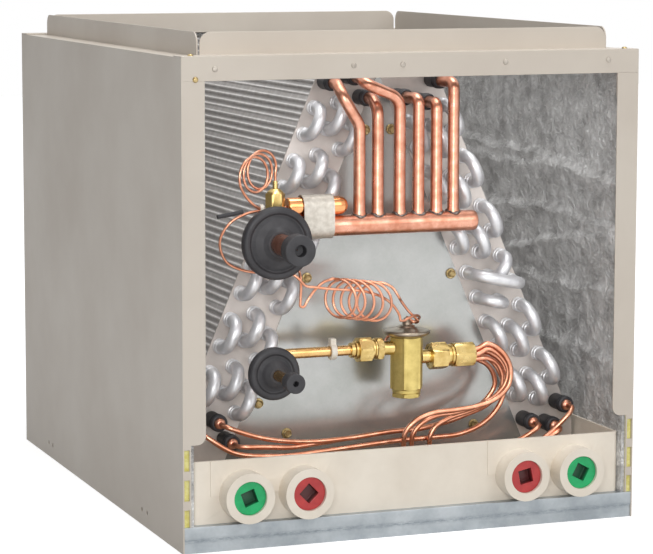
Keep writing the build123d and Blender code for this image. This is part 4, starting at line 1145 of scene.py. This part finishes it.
def strap_loop():
    """The strap round the header and the bulb: two half circles joined by straight runs,
    carried along x, with its edges rolled: the radius swells at both rims."""
    angle = np.linspace(0, math.pi, 17)
    upper = np.stack([np.cos(angle) * 9.9, np.sin(angle) * 9.9 + 301.6], axis=-1)
    lower = np.stack([-np.cos(angle) * 10.4, 283 - np.sin(angle) * 10.4], axis=-1)
    loop = np.concatenate([upper, lower])
    middle = np.array([0.0, 292.0])
    outward = loop - middle
    outward /= np.linalg.norm(outward, axis=1)[:, None]
    section = [(-94.5, 0.0), (-94.5, 1.1), (-93.5, 0.9), (-66.0, 0.9), (-65.0, 1.1), (-65.0, 0.0)]
    rings = []
    for x, out in section:
        spot = loop + outward * out
        rings.append(np.stack([np.full(len(spot), x), spot[:, 0] + 47, spot[:, 1]], axis=-1))
    return place(np.concatenate(rings)), ring_faces(len(rings), len(loop), closed=True)


shaped("bulb_strap_fitted", strap_loop(), strap_steel, 40, ["bulb_strap"])

fitting_z = 283 + 9.525 + 8
fitting = [(-16, 4.9, np.inf), (-0.6, 4.9, np.inf), (-0.4, 6.4, np.inf)] + hexagon(0, 15, 16)
cone = [(15, 7.4), (16.2, 7.2), (19, 4.0), (19.2, 2.4), (25.6, 2.3), (26, 1.9)]
fitting += [(s, r, np.inf) for s, r in cone]
shaped(
    "equalizer_fitting_smooth",
    turned(fitting, (-121, 41, fitting_z), "up", 72, turn=8),
    machined_brass, 25, ["equalizer_fitting"],
)


def coil_turns(start, end, radius, turns, first_angle, leans, per_turn=10):
    """Points of an open coil: its middle goes evenly from start to end as the angle turns.

    Each turn is a circle stood upright and swung about its own vertical by a lean in degrees,
    which drifts from the first value to the last: x and depth share the circle's cosine by the
    lean's cosine and sine, and z takes the circle's sine.
    """
    count = int(turns * per_turn)
    share = np.arange(count + 1) / count
    angle = np.radians(first_angle + 360.0 * turns * share)
    lean = np.radians(leans[0] + (leans[1] - leans[0]) * share)
    reach = radius * np.cos(angle)
    swing = np.stack([reach * np.cos(lean), reach * np.sin(lean), radius * np.sin(angle)])
    middle = np.outer(1 - share, start) + np.outer(share, end)
    return (middle + swing.T).tolist()


port = math.radians(120)
equalizer = [(-121, 41, fitting_z + 26), (-121, 41, fitting_z + 31)]
equalizer += coil_turns((-135, 35, 339), (-149, 23, 333), 16.5, 2.5, 10.0, (24, 26))
equalizer += [(-156, 22, 316), (-146, 23, 306), (-141, 25, 303), (-152, 26, 300)]
equalizer += [(-168, 28, 292), (-177, 31, 276), (-170, 34, 256), (-152, 34, 247)]
equalizer += [(-128, 28, 245), (-112, 20, 244), (-106, 18, 239), (-100, 18, 233)]
equalizer += [(-91.6, 18, 231.4), (-72, 18, 228.6), (-42, 19, 225), (-27, 22, 220)]
equalizer += [(-15, 26, 213), (-7, 29, 205), (-3.5, 30, 199), (-2.6, 30, 195), (0, 31, 194.2)]
equalizer += [(6, 33, 195.8), (14, 37, 197.6), (21, 43, 196), (25, 52, 192), (22, 62, 187)]
equalizer += [(12, 70, 180), (2, 74, 172)]
equalizer += [
    (VALVE_X + reach * math.cos(port), VALVE_DEPTH + reach * math.sin(port), 165)
    for reach in (26.0, 13.0)
]
shaped(
    "equalizer_tube_smooth", tube(flowing(equalizer, 5), 1.25, 10), thin_copper, 60,
    ["equalizer_tube"],
)

capillary = [(-106.5, 49, 301.6), (-110.9, 51, 301.2), (-111, 60, 298), (-108, 63, 285)]
capillary += [(-106, 60, 262), (-104, 44, 251), (-102.5, 30, 246), (-102.5, 25, 240)]
capillary += [(-102.4, 24, 231), (-103, 24, 219), (-102.6, 24, 213.5), (-100.6, 24, 213)]
capillary += [(-96, 24, 219), (-89.4, 24, 227.6), (-81, 23, 235), (-73, 20, 238)]
capillary += coil_turns((-68, 27, 219.5), (-24, 27, 213.5), 17.8, 5.35, 40.0, (-231, -205))[1:]
capillary += [(-2, 33, 214), (8, 36, 202), (16, 39, 195), (20, 42, 191), (19, 46, 189.6)]
capillary += [(14, 48, 192.6), (VALVE_X, 47, 195)]
shaped(
    "bulb_capillary_smooth", tube(flowing(capillary, 5), 1.25, 10), thin_copper, 60,
    ["bulb_capillary"],
)

shaped(
    "capillary_sleeve",
    tube(np.array([(-158.5, 22, 302), (-170, 21, 300), (-183, 20, 298.3)]), 2.0, 14),
    rubber, 60,
)
tie = rounded([(0, 2.2), (0, 3.6), (3.2, 3.6), (3.2, 2.2)], 0.3, 3)
shaped("capillary_tie", turned(tie, (-141.5, 25, 304), "right", 20, closed=True), nylon)


# ---------------------------------------------------------------- screws


def hex_screw(x, depth, z, turn):
    """A hex washer-head screw facing the front: washer, hexagon and its dished top."""
    profile = [(0, 4.8, np.inf), (0.7, 5.0, np.inf), (1.3, 4.5, np.inf), (1.5, 3.9, np.inf)]
    profile += hexagon(1.5, 5.0, 6.6, 0.5) + [(4.3, 2.2, np.inf), (4.2, 0.4, np.inf)]
    return turned(profile, (x, depth, z), "front", 36, turn=turn)


def pan_screw(x, depth, z):
    """A low domed screw head facing the front."""
    profile = [(0, 2.7), (0.5, 2.6), (1.2, 1.9), (1.5, 0.8)]
    return turned(profile, (x, depth, z), "front", 24)


PLATE_SCREWS = [(-13, 366), (13, 366), (75, 227), (-71, 229.5), (-119, 114), (-91, 84), (100, 80)]
shaped(
    "plate_screws",
    together([hex_screw(x, 93.8, z, 17 * x) for x, z in PLATE_SCREWS]),
    plated_screw, 30,
)
RAIL_SCREWS = [(-191.6, 430.6), (-61.3, 431.5), (-14.1, 431.5), (86.9, 432.1), (191.1, 432.4)]
shaped(
    "rail_screws", together([pan_screw(x, 0.0, z) for x, z in RAIL_SCREWS]),
    painted_screw, 50,
)
ledge_screws = [
    turned([(0, 2.7), (0.6, 2.6), (1.4, 1.8), (1.7, 0.8)], (x, 8.0, 442.0), "up", 24)
    for x in (-211.5, 211.5)
]
shaped("ledge_screws", together(ledge_screws), plated_screw, 50)
shaped("corner_screw", pan_screw(-209.5, 0.0, 421.5), plated_screw, 50)


# ---------------------------------------------------------------- floor, light and camera


def seen_by(tree, *kinds):
    """1 for a ray of any of the kinds, and 0 for others."""
    path = add(tree, "ShaderNodeLightPath")
    seen = path.outputs[kinds[0]]
    for kind in kinds[1:]:
        larger = add(
            tree, "ShaderNodeMath", {0: seen, 1: path.outputs[kind]}, operation="MAXIMUM"
        )
        seen = larger.outputs[0]
    return seen


def facing(position, ahead):
    """A lamp's or camera's place: at a position, looking along a direction, level."""
    ahead = np.array(ahead, float) / np.linalg.norm(ahead)
    right = np.cross(ahead, (0, 0, 1))
    right /= np.linalg.norm(right)
    turn = np.eye(4)
    turn[:3, :3] = np.stack([right, np.cross(right, ahead), -ahead], axis=-1)
    turn[:3, 3] = position
    return Matrix(turn.tolist())


floor_mesh = bpy.data.meshes.new("studio_floor")
floor_mesh.from_pydata([(-6, -6, 0), (6, -6, 0), (6, 6, 0), (-6, 6, 0)], [], [(0, 1, 2, 3)])
floor = bpy.data.objects.new("studio_floor", floor_mesh)
scene.collection.objects.link(floor)
floor_paint, floor_tree, floor_shader, floor_place = new_finish("matt_studio_floor", Roughness=0.9)
floor_shader.inputs["Base Color"].default_value = linear("#C4C4C4")
floor_shader.inputs["Specular IOR Level"].default_value = 0.0
floor_mesh.materials.append(floor_paint)
white_seen = add(
    floor_tree,
    "ShaderNodeEmission",
    {"Color": (1.0, 1.0, 1.0, 1.0)},
)
away = add(floor_tree, "ShaderNodeVectorMath", {0: floor_place}, operation="LENGTH")
glow = add(
    floor_tree,
    "ShaderNodeMapRange",
    {"Value": away.outputs["Value"], "From Min": 0.35, "From Max": 1.2}
    | {"To Min": 0.74, "To Max": 1.0},
)
floor_tree.links.new(glow.outputs[0], white_seen.inputs["Strength"])
lift = add(
    floor_tree, "ShaderNodeMixShader", {0: seen_by(floor_tree, "Is Camera Ray", "Is Glossy Ray")}
)
both = add(
    floor_tree,
    "ShaderNodeAddShader",
    {0: floor_shader.outputs[0], 1: white_seen.outputs[0]},
)
floor_tree.links.new(floor_shader.outputs[0], lift.inputs[1])
floor_tree.links.new(both.outputs[0], lift.inputs[2])
floor_tree.links.new(lift.outputs[0], floor_tree.nodes["Material Output"].inputs["Surface"])

world = bpy.data.worlds.new("studio")
scene.world = world
world.use_nodes = True
sky = world.node_tree
shown = seen_by(sky, "Is Camera Ray", "Is Transmission Ray", "Is Glossy Ray")
strength = add(
    sky,
    "ShaderNodeMapRange",
    {"Value": shown, "To Min": 0.22, "To Max": 1.0},
)
background = sky.nodes["Background"]
background.inputs["Color"].default_value = (1.0, 1.0, 1.0, 1.0)
sky.links.new(strength.outputs[0], background.inputs["Strength"])


def softbox(name, position, target, size, power):
    """A square studio lamp at a position, turned to a target."""
    lamp = bpy.data.lights.new(name, "AREA")
    lamp.shape = "SQUARE"
    lamp.size = size
    lamp.energy = power
    box = bpy.data.objects.new(name, lamp)
    scene.collection.objects.link(box)
    box.matrix_world = facing(position, np.array(target, float) - np.array(position, float))


softbox("front_softbox", (0.9, -2.4, 1.3), (0, -0.1, 0.25), 1.4, 14)
softbox("fill_softbox", (-0.9, -2.5, 0.9), (0.05, 0, 0.25), 1.0, 26)
softbox("top_softbox", (0.1, -0.3, 2.4), (0, 0, 0.3), 1.4, 34)

camera_data = bpy.data.cameras.new("camera")
camera = bpy.data.objects.new("camera", camera_data)
scene.collection.objects.link(camera)
scene.camera = camera
camera_data.lens = 142.04
camera_data.sensor_width = 36.0
camera_data.shift_x = 0.0597
camera_data.shift_y = -0.0597
camera_data.clip_end = 50
yaw, pitch = math.radians(20.073), math.radians(6.775)
camera.matrix_world = facing(
    (-0.9038, -2.3911, 0.5493),
    (math.sin(yaw) * math.cos(pitch), math.cos(yaw) * math.cos(pitch), -math.sin(pitch)),
)

scene.view_settings.view_transform = "Standard"
